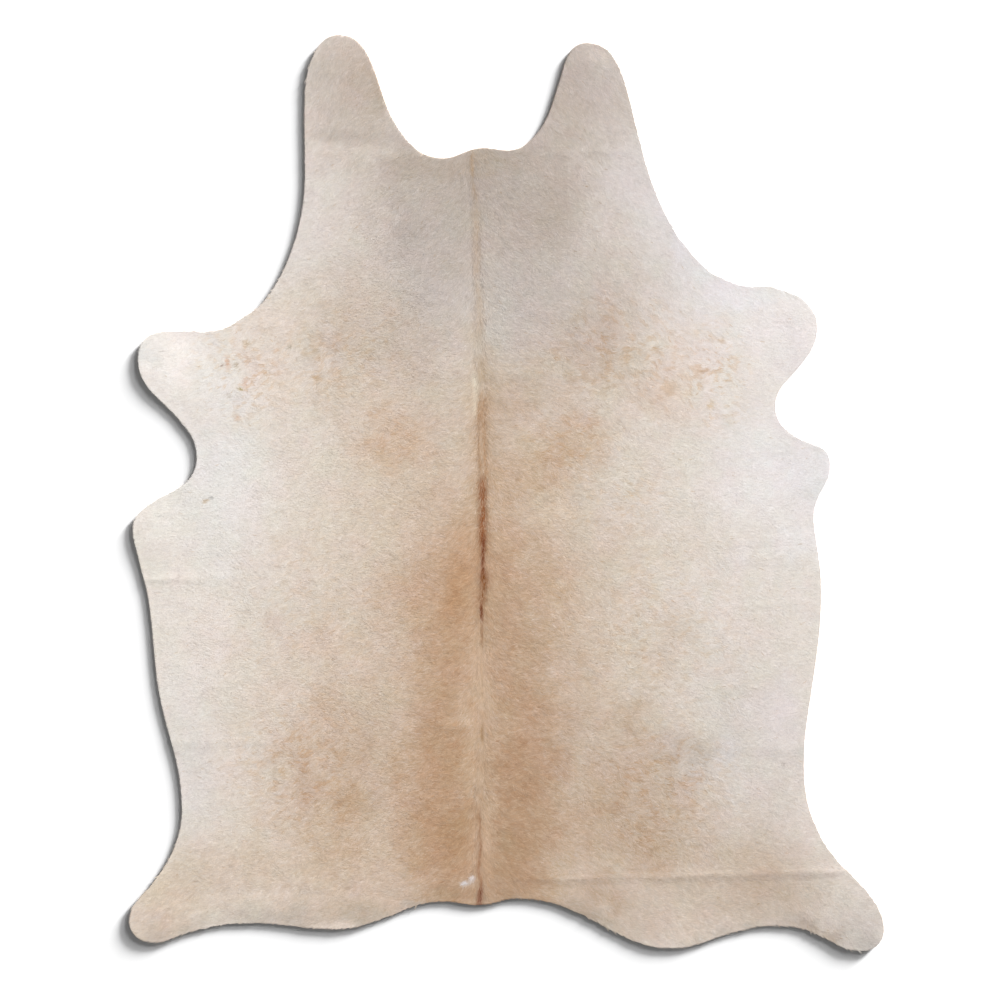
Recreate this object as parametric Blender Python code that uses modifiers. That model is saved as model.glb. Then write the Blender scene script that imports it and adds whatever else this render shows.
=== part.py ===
# A whole cowhide rug, tanned with its hair on, lying hair side up on a floor.
# Metres, +Z up. +Y runs along the backbone towards the neck and +X to the right of it, seen from above.
# The origin is under the middle of the hide's outline, on the floor.

import math
from collections import namedtuple

import bmesh
import bpy
from mathutils import Vector

MM = 0.001

# One tanned skin: the leather, and the short hair that lies down on it.
LEATHER_THICKNESS = 2.2 * MM
LYING_HAIR_DEPTH = 2.3 * MM
SHEET_THICKNESS = LEATHER_THICKNESS + LYING_HAIR_DEPTH

# How finely the skin is laid out: its plain cells, and the steps of the edge between two landmarks.
CELL_ACROSS = 60 * MM
CELL_ALONG = 60 * MM
EDGE_STEPS = 8

# The part of the way to the next landmark that a handle reaches, which makes round lobes of right angles.
HANDLE_SHARE = 0.385

# The cutter stands this far above and below the skin, and the uncut sheet this far outside the edge.
CUTTER_CLEARANCE = 30 * MM
SHEET_MARGIN = 40 * MM

# The ridges that are left where the hide was folded for packing: the cross-section is a soft bell,
# and each end fades out over this share of the ridge's length.
RIDGE_ROWS = (-1.0, 0.0, 1.0)
RIDGE_FADE = 0.18

COAT_COLOUR = (0.80, 0.70, 0.59, 1.0)
COAT_ROUGHNESS = 0.62

# The edge, clockwise from the tip of the left neck lobe. Across is measured from the backbone, along
# from the lowest point of the right hind leg, and heading is the way the edge runs there: 0 to the
# right, 90 towards the neck, 180 to the left, -90 towards the tail.
Landmark = namedtuple("Landmark", "name across_mm along_mm heading_deg")
EDGE = (
    Landmark("left neck lobe, tip", -331, 2196, 0),
    Landmark("left neck lobe, inner side", -252, 2112, -72),
    Landmark("neck hollow, left slope", -187, 1950, -52),
    Landmark("neck hollow, left bottom", -88, 1898, 0),
    Landmark("nape point", 8, 1923, 0),
    Landmark("neck hollow, right bottom", 68, 1917, 2),
    Landmark("neck hollow, right slope", 124, 1944, 46),
    Landmark("right neck lobe, inner side", 187, 2078, 72),
    Landmark("right neck lobe, tip", 255, 2180, 0),
    Landmark("right neck lobe, shoulder", 327, 2125, -63),
    Landmark("right neck, upper side", 384, 1937, -76),
    Landmark("right neck, lower side", 420, 1802, -69),
    Landmark("right neck, curving out", 504, 1670, -46),
    Landmark("right foreleg, root", 614, 1601, -16),
    Landmark("right foreleg, upper side", 722, 1586, -14),
    Landmark("right foreleg, tip", 810, 1500, -88),
    Landmark("right foreleg, lower side", 746, 1394, -129),
    Landmark("right armpit", 708, 1310, -90),
    Landmark("right flap, upper side", 766, 1229, -28),
    Landmark("right flap, tip", 840, 1176, -90),
    Landmark("right flap, lower side", 806, 1078, -106),
    Landmark("right belly, upper", 803, 1008, -82),
    Landmark("right belly, widest", 818, 860, -90),
    Landmark("right belly, lower", 796, 625, -98),
    Landmark("right flank hollow", 778, 451, -90),
    Landmark("right thigh, upper", 799, 310, -68),
    Landmark("right thigh, lower", 881, 185, -48),
    Landmark("right hind leg, tip", 970, 50, -90),
    Landmark("right hind leg, lowest", 919, 0, 180),
    Landmark("right hind leg, inner side", 823, 31, 157),
    Landmark("right rump hollow", 701, 60, 180),
    Landmark("right rump, down slope", 565, 28, -160),
    Landmark("right rump lobe", 452, 7, 180),
    Landmark("right rump, up slope", 288, 58, 153),
    Landmark("tail, right shoulder", 92, 126, 180),
    Landmark("tail point", -2, 110, 181),
    Landmark("tail, left shoulder", -92, 120, 181),
    Landmark("left rump, down slope", -230, 79, -159),
    Landmark("left rump lobe", -356, 50, 180),
    Landmark("left rump hollow", -556, 67, 180),
    Landmark("left hind leg, inner side", -696, 49, -162),
    Landmark("left hind leg, lowest", -788, 21, 178),
    Landmark("left hind leg, tip", -842, 70, 90),
    Landmark("left thigh, lower", -799, 154, 53),
    Landmark("left thigh, upper", -727, 266, 71),
    Landmark("left flank hollow", -715, 360, 92),
    Landmark("left belly, lower", -761, 590, 102),
    Landmark("left belly, upper", -797, 859, 101),
    Landmark("left flap, tip", -833, 1012, 90),
    Landmark("left flap, upper side", -758, 1081, 28),
    Landmark("left armpit", -679, 1183, 90),
    Landmark("left foreleg, lower side", -749, 1298, 136),
    Landmark("left foreleg, tip", -821, 1418, 90),
    Landmark("left foreleg, upper side", -750, 1486, 7),
    Landmark("left foreleg, root", -640, 1487, 4),
    Landmark("left neck, curving in", -523, 1553, 49),
    Landmark("left neck, lower side", -456, 1678, 71),
    Landmark("left neck, upper side", -420, 1860, 89),
    Landmark("left neck lobe, outer side", -420, 2052, 88),
)

# Each packing ridge runs from one side to the other at its own small slope.
Ridge = namedtuple("Ridge", "name from_mm to_mm along_mm slope_mm rise_mm half_width_mm")
RIDGES = (
    Ridge("right neck", 140, 384, 1921, 10, 1.6, 16),
    Ridge("shoulder", -130, 290, 1390, -6, 2.2, 18),
    Ridge("right belly, upper", 560, 800, 968, 4, 1.6, 15),
    Ridge("left belly, upper", -800, -520, 890, 4, 2.6, 15),
    Ridge("left belly, lower", -745, -480, 495, 8, 2.4, 15),
    Ridge("loin", -110, 20, 533, 6, 1.5, 16),
    Ridge("right belly, lower", 480, 780, 497, -4, 1.8, 16),
    Ridge("left rump", -790, -330, 145, -8, 2.2, 18),
    Ridge("right rump", 70, 885, 180, 14, 3.2, 17),
)

# Where the edge doesn't lie quite down: a soft lift round a spot on each lobe and flap.
Lift = namedtuple("Lift", "name across_mm along_mm reach_mm rise_mm")
LIFTS = (
    Lift("left neck lobe", -372, 2170, 150, 3.0),
    Lift("right neck lobe", 285, 2160, 140, 2.5),
    Lift("left foreleg", -810, 1400, 150, 4.0),
    Lift("right foreleg", 805, 1480, 150, 3.5),
    Lift("left flap", -820, 1010, 120, 3.0),
    Lift("right flap", 835, 1165, 120, 3.0),
    Lift("left hind leg", -815, 60, 170, 4.5),
    Lift("right hind leg", 935, 40, 190, 4.5),
    Lift("right rump lobe", 450, 0, 150, 2.5),
    Lift("left rump lobe", -350, 45, 130, 2.0),
)


def clear_scene():
    for thing in list(bpy.data.objects):
        bpy.data.objects.remove(thing, do_unlink=True)


def new_collection(name):
    collection = bpy.data.collections.new(name)
    bpy.context.scene.collection.children.link(collection)
    return collection


def coat_material():
    material = bpy.data.materials.new("coat")
    material.use_nodes = True
    shader = material.node_tree.nodes["Principled BSDF"]
    shader.inputs["Base Color"].default_value = COAT_COLOUR
    shader.inputs["Roughness"].default_value = COAT_ROUGHNESS
    shader.inputs["Metallic"].default_value = 0.0
    material.diffuse_color = COAT_COLOUR
    return material


# The middle of the outline's box, from the landmarks that reach furthest each way.
def outline_centre():
    across = [mark.across_mm for mark in EDGE]
    along = [mark.along_mm for mark in EDGE]
    middle = Vector((min(across) + max(across), min(along) + max(along)))
    return middle * 0.5 * MM


CENTRE = outline_centre()


# A spot given from the backbone and the lowest leg, in the rug's own frame.
def place(across_mm, along_mm):
    return Vector((across_mm * MM - CENTRE.x, along_mm * MM - CENTRE.y))


# The edge as one closed curve, filled and extruded to a tall prism that trims the sheet.
def edge_curve(collection):
    data = bpy.data.curves.new("edge", type="CURVE")
    data.dimensions = "2D"
    data.fill_mode = "BOTH"
    data.resolution_u = EDGE_STEPS
    data.extrude = CUTTER_CLEARANCE
    spline = data.splines.new("BEZIER")
    spline.bezier_points.add(len(EDGE) - 1)
    spline.use_cyclic_u = True
    spots = [place(mark.across_mm, mark.along_mm) for mark in EDGE]
    for index, (mark, spot) in enumerate(zip(EDGE, spots)):
        heading = math.radians(mark.heading_deg)
        way = Vector((math.cos(heading), math.sin(heading)))
        back = HANDLE_SHARE * (spot - spots[index - 1]).length
        ahead = HANDLE_SHARE * (spots[(index + 1) % len(spots)] - spot).length
        point = spline.bezier_points[index]
        point.handle_left_type = "FREE"
        point.handle_right_type = "FREE"
        point.co = spot.to_3d()
        point.handle_left = (spot - back * way).to_3d()
        point.handle_right = (spot + ahead * way).to_3d()
    curve = bpy.data.objects.new("edge curve", data)
    collection.objects.link(curve)
    return curve


# A curve can't trim a mesh, so the prism is made a welded mesh first.
def edge_cutter(collection):
    curve = edge_curve(collection)
    bpy.context.view_layer.update()
    evaluated = curve.evaluated_get(bpy.context.evaluated_depsgraph_get())
    mesh = bpy.data.meshes.new_from_object(evaluated)
    shape = bmesh.new()
    shape.from_mesh(mesh)
    bmesh.ops.remove_doubles(shape, verts=shape.verts, dist=0.01 * MM)
    shape.to_mesh(mesh)
    shape.free()
    cutter = bpy.data.objects.new("edge cutter", mesh)
    cutter.matrix_world = curve.matrix_world
    cutter.hide_render = True
    cutter.display_type = "WIRE"
    collection.objects.link(cutter)
    bpy.data.objects.remove(curve, do_unlink=True)
    return cutter


def smooth_step(value):
    value = min(max(value, 0.0), 1.0)
    return value * value * (3.0 - 2.0 * value)


# The ridge's centre line, at a place across the hide.
def ridge_line(ridge, across):
    start = place(ridge.from_mm, ridge.along_mm)
    end = place(ridge.to_mm, ridge.along_mm + ridge.slope_mm)
    share = (across - start.x) / (end.x - start.x)
    return start.y + share * (end.y - start.y), share


def ridge_height(ridge, spot):
    middle, share = ridge_line(ridge, spot.x)
    if not 0.0 < share < 1.0:
        return 0.0
    ends = smooth_step(share / RIDGE_FADE) * smooth_step((1.0 - share) / RIDGE_FADE)
    offset = (spot.y - middle) / (ridge.half_width_mm * MM)
    return ridge.rise_mm * MM * ends * smooth_step(1.0 - abs(offset))


def lift_height(lift, spot):
    distance = (spot - place(lift.across_mm, lift.along_mm)).length
    return lift.rise_mm * MM * smooth_step(1.0 - distance / (lift.reach_mm * MM))


# How high the underside stands over the floor. It is 0 over most of the hide.
def lie(spot):
    ridges = max(ridge_height(ridge, spot) for ridge in RIDGES)
    lifts = max(lift_height(lift, spot) for lift in LIFTS)
    return ridges + lifts


def cut_across(shape, faces, spot, normal):
    parts = set(faces)
    for face in faces:
        parts.update(face.edges)
        parts.update(face.verts)
    bmesh.ops.bisect_plane(shape, geom=list(parts), dist=0.01 * MM, plane_co=spot, plane_no=normal)


# Three cuts along a ridge, through the cells that it crosses only.
def cut_ridge_rows(shape, ridge):
    start = place(ridge.from_mm, ridge.along_mm).to_3d()
    end = place(ridge.to_mm, ridge.along_mm + ridge.slope_mm).to_3d()
    way = (end - start).normalized()
    normal = Vector((-way.y, way.x, 0.0))
    for row in RIDGE_ROWS:
        faces = [
            face for face in shape.faces
            if start.x < face.calc_center_median().x < end.x
        ]
        cut_across(shape, faces, start + normal * row * ridge.half_width_mm * MM, normal)


# The uncut sheet: a plane cut into plain cells, with extra rows at the ridges, then laid on the floor.
def lay_sheet():
    across = [place(mark.across_mm, 0).x for mark in EDGE]
    along = [place(0, mark.along_mm).y for mark in EDGE]
    half_width = max(across) + SHEET_MARGIN
    half_length = max(along) + SHEET_MARGIN
    shape = bmesh.new()
    bmesh.ops.create_grid(
        shape,
        x_segments=round(2 * half_width / CELL_ACROSS),
        y_segments=round(2 * half_length / CELL_ALONG),
        size=1.0,
    )
    for vertex in shape.verts:
        vertex.co.x *= half_width
        vertex.co.y *= half_length
    for ridge in RIDGES:
        cut_ridge_rows(shape, ridge)
    for vertex in shape.verts:
        vertex.co.z = lie(vertex.co.xy)
    bmesh.ops.triangulate(shape, faces=shape.faces)
    mesh = bpy.data.meshes.new("hide")
    shape.to_mesh(mesh)
    shape.free()
    return mesh


# The skin as one solid: the laid sheet, made thick upwards from the floor and trimmed to the edge.
def build_hide(collection, cutter):
    hide = bpy.data.objects.new("hide", lay_sheet())
    collection.objects.link(hide)
    hide.data.materials.append(coat_material())
    thick = hide.modifiers.new("thickness", "SOLIDIFY")
    thick.thickness = SHEET_THICKNESS
    thick.offset = 1.0
    trim = hide.modifiers.new("trim to edge", "BOOLEAN")
    trim.operation = "INTERSECT"
    trim.solver = "EXACT"
    trim.object = cutter
    return hide


def main():
    clear_scene()
    rug = new_collection("cowhide rug")
    cutters = new_collection("cutters")
    cutter = edge_cutter(cutters)
    build_hide(rug, cutter)
    bpy.context.view_layer.update()


main()
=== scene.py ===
# The looks of a whole cowhide rug: tanned leather, the dense hair on it and the locks that lie over that.
import math

import bmesh
import bpy
import numpy as np
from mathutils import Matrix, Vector
from mathutils.bvhtree import BVHTree
from mathutils.geometry import delaunay_2d_cdt


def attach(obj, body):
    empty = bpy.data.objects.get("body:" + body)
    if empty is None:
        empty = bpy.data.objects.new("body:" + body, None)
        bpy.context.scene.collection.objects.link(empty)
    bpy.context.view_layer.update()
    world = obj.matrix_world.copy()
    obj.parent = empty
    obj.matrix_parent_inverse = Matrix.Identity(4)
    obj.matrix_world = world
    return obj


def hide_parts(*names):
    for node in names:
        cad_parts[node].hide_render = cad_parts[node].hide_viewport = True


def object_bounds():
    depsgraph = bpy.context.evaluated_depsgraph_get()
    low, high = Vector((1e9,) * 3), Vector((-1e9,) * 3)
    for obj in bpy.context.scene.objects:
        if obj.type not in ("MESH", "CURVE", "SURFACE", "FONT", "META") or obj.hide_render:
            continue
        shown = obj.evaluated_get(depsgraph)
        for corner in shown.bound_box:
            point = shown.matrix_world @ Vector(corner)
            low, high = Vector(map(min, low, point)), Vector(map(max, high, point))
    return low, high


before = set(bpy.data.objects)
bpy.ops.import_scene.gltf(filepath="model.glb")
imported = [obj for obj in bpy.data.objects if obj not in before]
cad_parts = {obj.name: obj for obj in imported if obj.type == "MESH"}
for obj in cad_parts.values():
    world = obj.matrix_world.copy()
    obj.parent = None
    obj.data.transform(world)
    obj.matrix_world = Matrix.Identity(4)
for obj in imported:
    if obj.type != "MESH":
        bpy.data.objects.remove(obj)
cadLow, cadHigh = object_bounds()
print("frame loaded")

mm = 0.001
pixel = 2.4 * mm  # of the rug, for each pixel of the photograph

# Where things are on the rug: across is from the backbone, along from the lowest hind leg, both in mm.
rug = {
    "backboneX": -64 * mm,
    "lowestY": cadLow.y,
    "hairTop": 4.3 * mm,  # of the dense lying hair, over the floor side of the leather
    "body": "root",
    "solid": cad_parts["hide"],
}


def spotsOf(acrossAlong):
    places = np.asarray(acrossAlong, float).reshape(-1, 2) * mm
    return places + (rug["backboneX"], rug["lowestY"])


def acrossAlongOf(spots):
    return (spots - (rug["backboneX"], rug["lowestY"])) / mm


# The rows of a table of named rows, each with its columns' names.
def rowsOf(columns, table):
    return [dict(zip(columns, values)) for values in table.values()]


def smoothStep(value):
    value = np.clip(value, 0.0, 1.0)
    return value * value * (3.0 - 2.0 * value)


def bellOf(value):
    return np.exp(-0.5 * value ** 2)


# Soft random hills between -1 and 1, one for each cell of that size, the same for the same seed.
def softNoise(spots, cell, seed):
    side = 512
    hills = np.random.default_rng(seed).uniform(-1.0, 1.0, (side, side))
    at = np.asarray(spots) / cell + side / 2
    low = np.floor(at).astype(int)
    part = smoothStep(at - low)
    x, y = low[:, 0] % side, low[:, 1] % side
    right, up = (x + 1) % side, (y + 1) % side
    near = hills[x, y] * (1 - part[:, 0]) + hills[right, y] * part[:, 0]
    far = hills[x, up] * (1 - part[:, 0]) + hills[right, up] * part[:, 0]
    return near * (1 - part[:, 1]) + far * part[:, 1]


# Hills of several sizes, each with its height, cell and seed.
def mixedNoise(spots, *layers):
    return sum(height * softNoise(spots, cell, seed) for height, cell, seed in layers)


# Where the hair points, as steps of length 1.
def aheadOf(way):
    return np.stack([np.cos(way), np.sin(way)], 1)


# Hills drawn out along the hair, by that many mm to each side.
def streakNoise(spots, way, reachMm, cell, seed):
    ahead = aheadOf(way)
    return sum(softNoise(spots + ahead * step * mm, cell, seed) for step in (-reachMm, reachMm)) / 2


def linearOf(sRgb):
    value = np.asarray(sRgb, float) / 255
    return np.where(value <= 0.04045, value / 12.92, ((value + 0.055) / 1.055) ** 2.4)


# The hide's solid, read once: its edge, which is then trimmed, and how high its underside lies.

edgePlan = {
    "step": 5 * mm,  # between two points of the smooth edge
    "smoothing": 9 * mm,
    "reaches": 3,  # of the smoothing, to each side
    "farSteps": 3,  # from the edge, where its own turns no longer matter
    "weld": 0.01 * mm,
    "floorTilt": -0.5,  # the z of a normal is below this on the floor side
    "cutTilt": 0.3,  # and between this and its negative at the cut edge
}


def readEdge(node):
    shape = bmesh.new()
    shape.from_mesh(node.data)
    bmesh.ops.remove_doubles(shape, verts=shape.verts, dist=edgePlan["weld"])
    nextTo = {}
    for edge in shape.edges:
        tilts = sorted(face.normal.z for face in edge.link_faces)
        if len(tilts) == 2 and tilts[0] < edgePlan["floorTilt"] and abs(tilts[1]) < edgePlan["cutTilt"]:
            first, second = edge.verts
            nextTo.setdefault(first, []).append(second)
            nextTo.setdefault(second, []).append(first)
    start = max(nextTo, key=lambda vertex: vertex.co.y)
    ring, before, here = [], None, start
    while here is not start or before is None:
        ring.append(here.co.xy[:])
        ahead = [vertex for vertex in nextTo[here] if vertex is not before]
        before, here = here, ahead[0]
    shape.free()
    return np.array(ring)


def evenly(ring, step):
    closed = np.vstack([ring, ring[:1]])
    reach = np.concatenate([[0.0], np.cumsum(np.hypot(*np.diff(closed, axis=0).T))])
    count = round(reach[-1] / step)
    at = np.linspace(0.0, reach[-1], count, endpoint=False)
    return np.stack([np.interp(at, reach, closed[:, 0]), np.interp(at, reach, closed[:, 1])], 1)


def smoothEdge(ring, step, smoothing):
    ring = evenly(ring, step)
    half = int(edgePlan["reaches"] * smoothing / step)
    offsets = np.arange(-half, half + 1)
    weights = bellOf(offsets * step / smoothing)
    weights /= weights.sum()
    soft = sum(weight * np.roll(ring, -offset, axis=0) for offset, weight in zip(offsets, weights))
    area = 0.5 * np.sum(soft[:, 0] * np.roll(soft[:, 1], -1) - np.roll(soft[:, 0], -1) * soft[:, 1])
    return (soft if area > 0 else soft[::-1]), abs(area)


def insetEdge(ring, inset):
    along = np.roll(ring, -1, axis=0) - np.roll(ring, 1, axis=0)
    along /= np.hypot(*along.T)[:, None]
    return ring + inset * np.stack([-along[:, 1], along[:, 0]], 1)


# Where the trimmer's knife ran a few mm outside the solid's edge, or inside it where outMm is below 0.
trimColumns = ("acrossMm", "alongMm", "reachMm", "outMm")
trims = {
    "left neck lobe, top": (-350, 2190, 35, 5),
    "left neck": (-445, 1700, 60, -3),
    "left foreleg, root": (-570, 1510, 25, 7),
    "left foreleg, tip": (-795, 1470, 25, 6),
    "left foreleg, under": (-760, 1310, 60, -4),
    "left flap, top": (-755, 1080, 45, 9),
    "left flap, under": (-825, 955, 25, -3),
    "left belly": (-765, 650, 150, 3),
    "left hind leg, upper": (-785, 170, 45, -6),
    "left hind leg, under": (-665, 60, 35, 3),
    "left rump": (-400, 55, 95, -4),
    "right rump": (275, 65, 100, -7),
    "right rump, outer": (565, 30, 40, -3),
    "right hind leg, under": (780, 45, 60, -4),
    "right hind leg, upper": (895, 170, 50, 6),
    "right belly, low": (800, 310, 60, 3),
    "right belly": (815, 900, 150, 2),
    "right flap, tip": (828, 1130, 30, 4),
    "right foreleg, under": (755, 1400, 50, 10),
    "right foreleg, top": (700, 1590, 40, 3),
    "right neck": (440, 1765, 85, 10),
    "right neck lobe": (320, 2130, 45, 4),
    "nape": (30, 1920, 90, 5),
    "neck bay, left": (-190, 1960, 80, 8),
}


def trimEdge(ring):
    places = acrossAlongOf(ring)
    out = np.zeros(len(ring))
    for trim in rowsOf(trimColumns, trims):
        gaps = np.hypot(*(places - (trim["acrossMm"], trim["alongMm"])).T)
        out += trim["outMm"] * mm * bellOf(gaps / trim["reachMm"])
    return insetEdge(ring, -out[:, None])


edgeRing, hideArea = smoothEdge(readEdge(rug["solid"]), edgePlan["step"], edgePlan["smoothing"])
edgeRing = trimEdge(edgeRing)
edgeNormals = edgeRing - insetEdge(edgeRing, 1.0)  # unit length, outwards
print(f"edge read: {len(edgeRing)} points round {hideArea:.3f} square metres")


# For each spot, how far inside the edge it is, below 0 outside. It takes some thousands at a time.
def depthInside(spots, atOnce=4000):
    depths = np.empty(len(spots))
    for start in range(0, len(spots), atOnce):
        part = spots[start:start + atOnce]
        squares = ((part[:, None, :] - edgeRing[None, :, :]) ** 2).sum(2)
        nearest = squares.argmin(1)
        least = squares[np.arange(len(part)), nearest]
        depth = -((part - edgeRing[nearest]) * edgeNormals[nearest]).sum(1)
        far = least > (edgePlan["farSteps"] * edgePlan["step"]) ** 2
        depth[far] = np.sign(depth[far]) * np.sqrt(least[far])
        depths[start:start + atOnce] = depth
    return depths


# A reading between the points of a grid over the rug.
def readGrid(values, plan, spots):
    corner = (cadLow.x - plan["margin"], cadLow.y - plan["margin"])
    at = np.clip((spots - corner) / plan["step"], 0, np.array(values.shape) - 1.001)
    low = at.astype(int)
    u, v = (at - low).T
    left, below = low.T
    near = values[left, below] * (1 - u) + values[left + 1, below] * u
    far = values[left, below + 1] * (1 - u) + values[left + 1, below + 1] * u
    return near * (1 - v) + far * v


def gridAxes(plan):
    across = np.arange(cadLow.x - plan["margin"], cadHigh.x + plan["margin"], plan["step"])
    along = np.arange(cadLow.y - plan["margin"], cadHigh.y + plan["margin"], plan["step"])
    return across, along


depthPlan = {"step": 5 * mm, "margin": 60 * mm}
depthAcross, depthAlong = gridAxes(depthPlan)
depthSpots = np.stack(np.meshgrid(depthAcross, depthAlong, indexing="ij"), 2).reshape(-1, 2)
edgeDepths = depthInside(depthSpots).reshape(len(depthAcross), len(depthAlong))
print("depths inside the edge read")


def depthAt(spots):
    return readGrid(edgeDepths, depthPlan, spots)


# A map of the solid's underside, smoothed so that its flat facets don't show. The sheet's own lifts and
# creases are softer than the solid's, so a share of those is kept.
liePlan = {
    "step": 10 * mm,
    "margin": 60 * mm,
    "rounds": 3,  # of smoothing
    "ridgeCells": 3,  # what is narrower along the rug is a ridge
    "liftShare": 0.62,
    "ridgeShare": 0.08,
}


def readLie(node, plan):
    mesh = node.data
    mesh.calc_loop_triangles()
    places = [vertex.co for vertex in mesh.vertices]
    under = [tuple(tri.vertices) for tri in mesh.loop_triangles if tri.normal.z < edgePlan["floorTilt"]]
    tree = BVHTree.FromPolygons(places, under)
    across, along = gridAxes(plan)
    heights = np.empty((len(across), len(along)))
    for column, x in enumerate(across):
        for row, y in enumerate(along):
            hit = tree.ray_cast(Vector((x, y, -1.0)), Vector((0.0, 0.0, 1.0)))[0]
            hit = hit or tree.find_nearest(Vector((x, y, 0.0)))[0]
            heights[column, row] = hit.z
    shifts = range(-plan["ridgeCells"], plan["ridgeCells"] + 1)
    plain = np.min([np.roll(heights, shift, 1) for shift in shifts], axis=0)
    plain = np.max([np.roll(plain, shift, 1) for shift in shifts], axis=0)
    heights = plan["liftShare"] * plain + plan["ridgeShare"] * (heights - plain)
    for _ in range(plan["rounds"]):
        for axis in (0, 1):
            lower, upper = np.roll(heights, 1, axis), np.roll(heights, -1, axis)
            heights = 0.25 * lower + 0.5 * heights + 0.25 * upper
    return heights


lieHeights = readLie(rug["solid"], liePlan)
print("underside read")


def solidLie(spots):
    return readGrid(lieHeights, liePlan, spots)


# The packing creases, as soft ridges, or troughs where the rise is below 0.
creaseColumns = ("fromMm", "toMm", "alongMm", "slopeMm", "riseMm", "softMm")
creases = {
    "right neck": (150, 380, 1909, 10, 0.11, 6),
    "left neck": (-430, -150, 1936, -4, -0.60, 15),
    "shoulder, left": (-130, 20, 1388, -2, 0.09, 9),
    "shoulder, right": (20, 280, 1383, -4, 0.11, 6),
    "right belly, top": (600, 795, 984, 3, 0.09, 7),
    "right belly, upper": (560, 800, 936, 4, 0.09, 13),
    "right belly, middle": (640, 800, 832, -3, 0.07, 13),
    "left belly, upper": (-850, -650, 891, 2, 0.26, 6),
    "left belly, inner": (-720, -540, 899, 3, 0.08, 7),
    "left belly, lower": (-770, -500, 498, 8, 0.19, 9),
    "loin": (-120, 20, 536, 6, 0.23, 8),
    "right belly, lower": (500, 800, 484, -4, 0.09, 9),
    "left rump": (-800, -340, 131, 10, -0.26, 10),
    "right rump, inner": (60, 560, 172, 9, 0.31, 6),
    "right rump, outer": (420, 930, 177, 15, 0.47, 7),
}

# How a crease wanders, changes and ends.
creaseShape = {
    "crestRowsMm": (3, 0, -4),  # of a mesh's points, from the crest
    "wanderMm": 2.0,
    "wanderCellMm": 90.0,
    "wanderSeed": 40,
    "uneven": 0.25,
    "unevenCellMm": 60.0,
    "unevenSeed": 60,
    "ends": 0.2,  # of its length, over which it fades
    "floorShare": 0.5,  # of its height, on the leather's floor side
}


# Spots on each crest, so that a mesh can follow it.
def creaseRows(step, margin):
    rows = []
    for crease in rowsOf(creaseColumns, creases):
        across = np.arange(crease["fromMm"], crease["toMm"], step / mm)
        share = (across - crease["fromMm"]) / (crease["toMm"] - crease["fromMm"])
        middle = crease["alongMm"] + share * crease["slopeMm"]
        rows += [np.stack([across, middle + offset], 1) for offset in creaseShape["crestRowsMm"]]
    spots = spotsOf(np.vstack(rows))
    return spots[depthAt(spots) > margin]


def creaseHeight(spots):
    shape, places = creaseShape, acrossAlongOf(spots)
    height = np.zeros(len(spots))
    for index, name in enumerate(sorted(creases)):
        crease = dict(zip(creaseColumns, creases[name]))
        share = (places[:, 0] - crease["fromMm"]) / (crease["toMm"] - crease["fromMm"])
        aside = shape["wanderMm"] * softNoise(places, shape["wanderCellMm"], shape["wanderSeed"] + index)
        offset = places[:, 1] - crease["alongMm"] - share * crease["slopeMm"] - aside
        ends = smoothStep(share / shape["ends"]) * smoothStep((1 - share) / shape["ends"])
        uneven = softNoise(places, shape["unevenCellMm"], shape["unevenSeed"] + index)
        uneven = 1 - shape["uneven"] + shape["uneven"] * uneven
        height += crease["riseMm"] * mm * ends * uneven * bellOf(offset / crease["softMm"])
    return height


# How high the leather's floor side lies, and the mat's hair side, which has small waves.
hairWaves = {"broad": (0.19 * mm, 190 * mm, 71), "fine": (0.06 * mm, 36 * mm, 72)}


def floorSide(spots):
    return np.maximum(solidLie(spots), 0.0) + creaseShape["floorShare"] * creaseHeight(spots)


def hairSide(spots):
    height = np.maximum(solidLie(spots), 0.0) + creaseHeight(spots)
    for waves in hairWaves.values():
        height = height + mixedNoise(spots, waves)
    return height


# The coat's colouring, with some painted shade along the hind edge, the left neck's edge and the left
# foreleg's tip. Each patch is soft and oval, and later ones lie over earlier ones.

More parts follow.
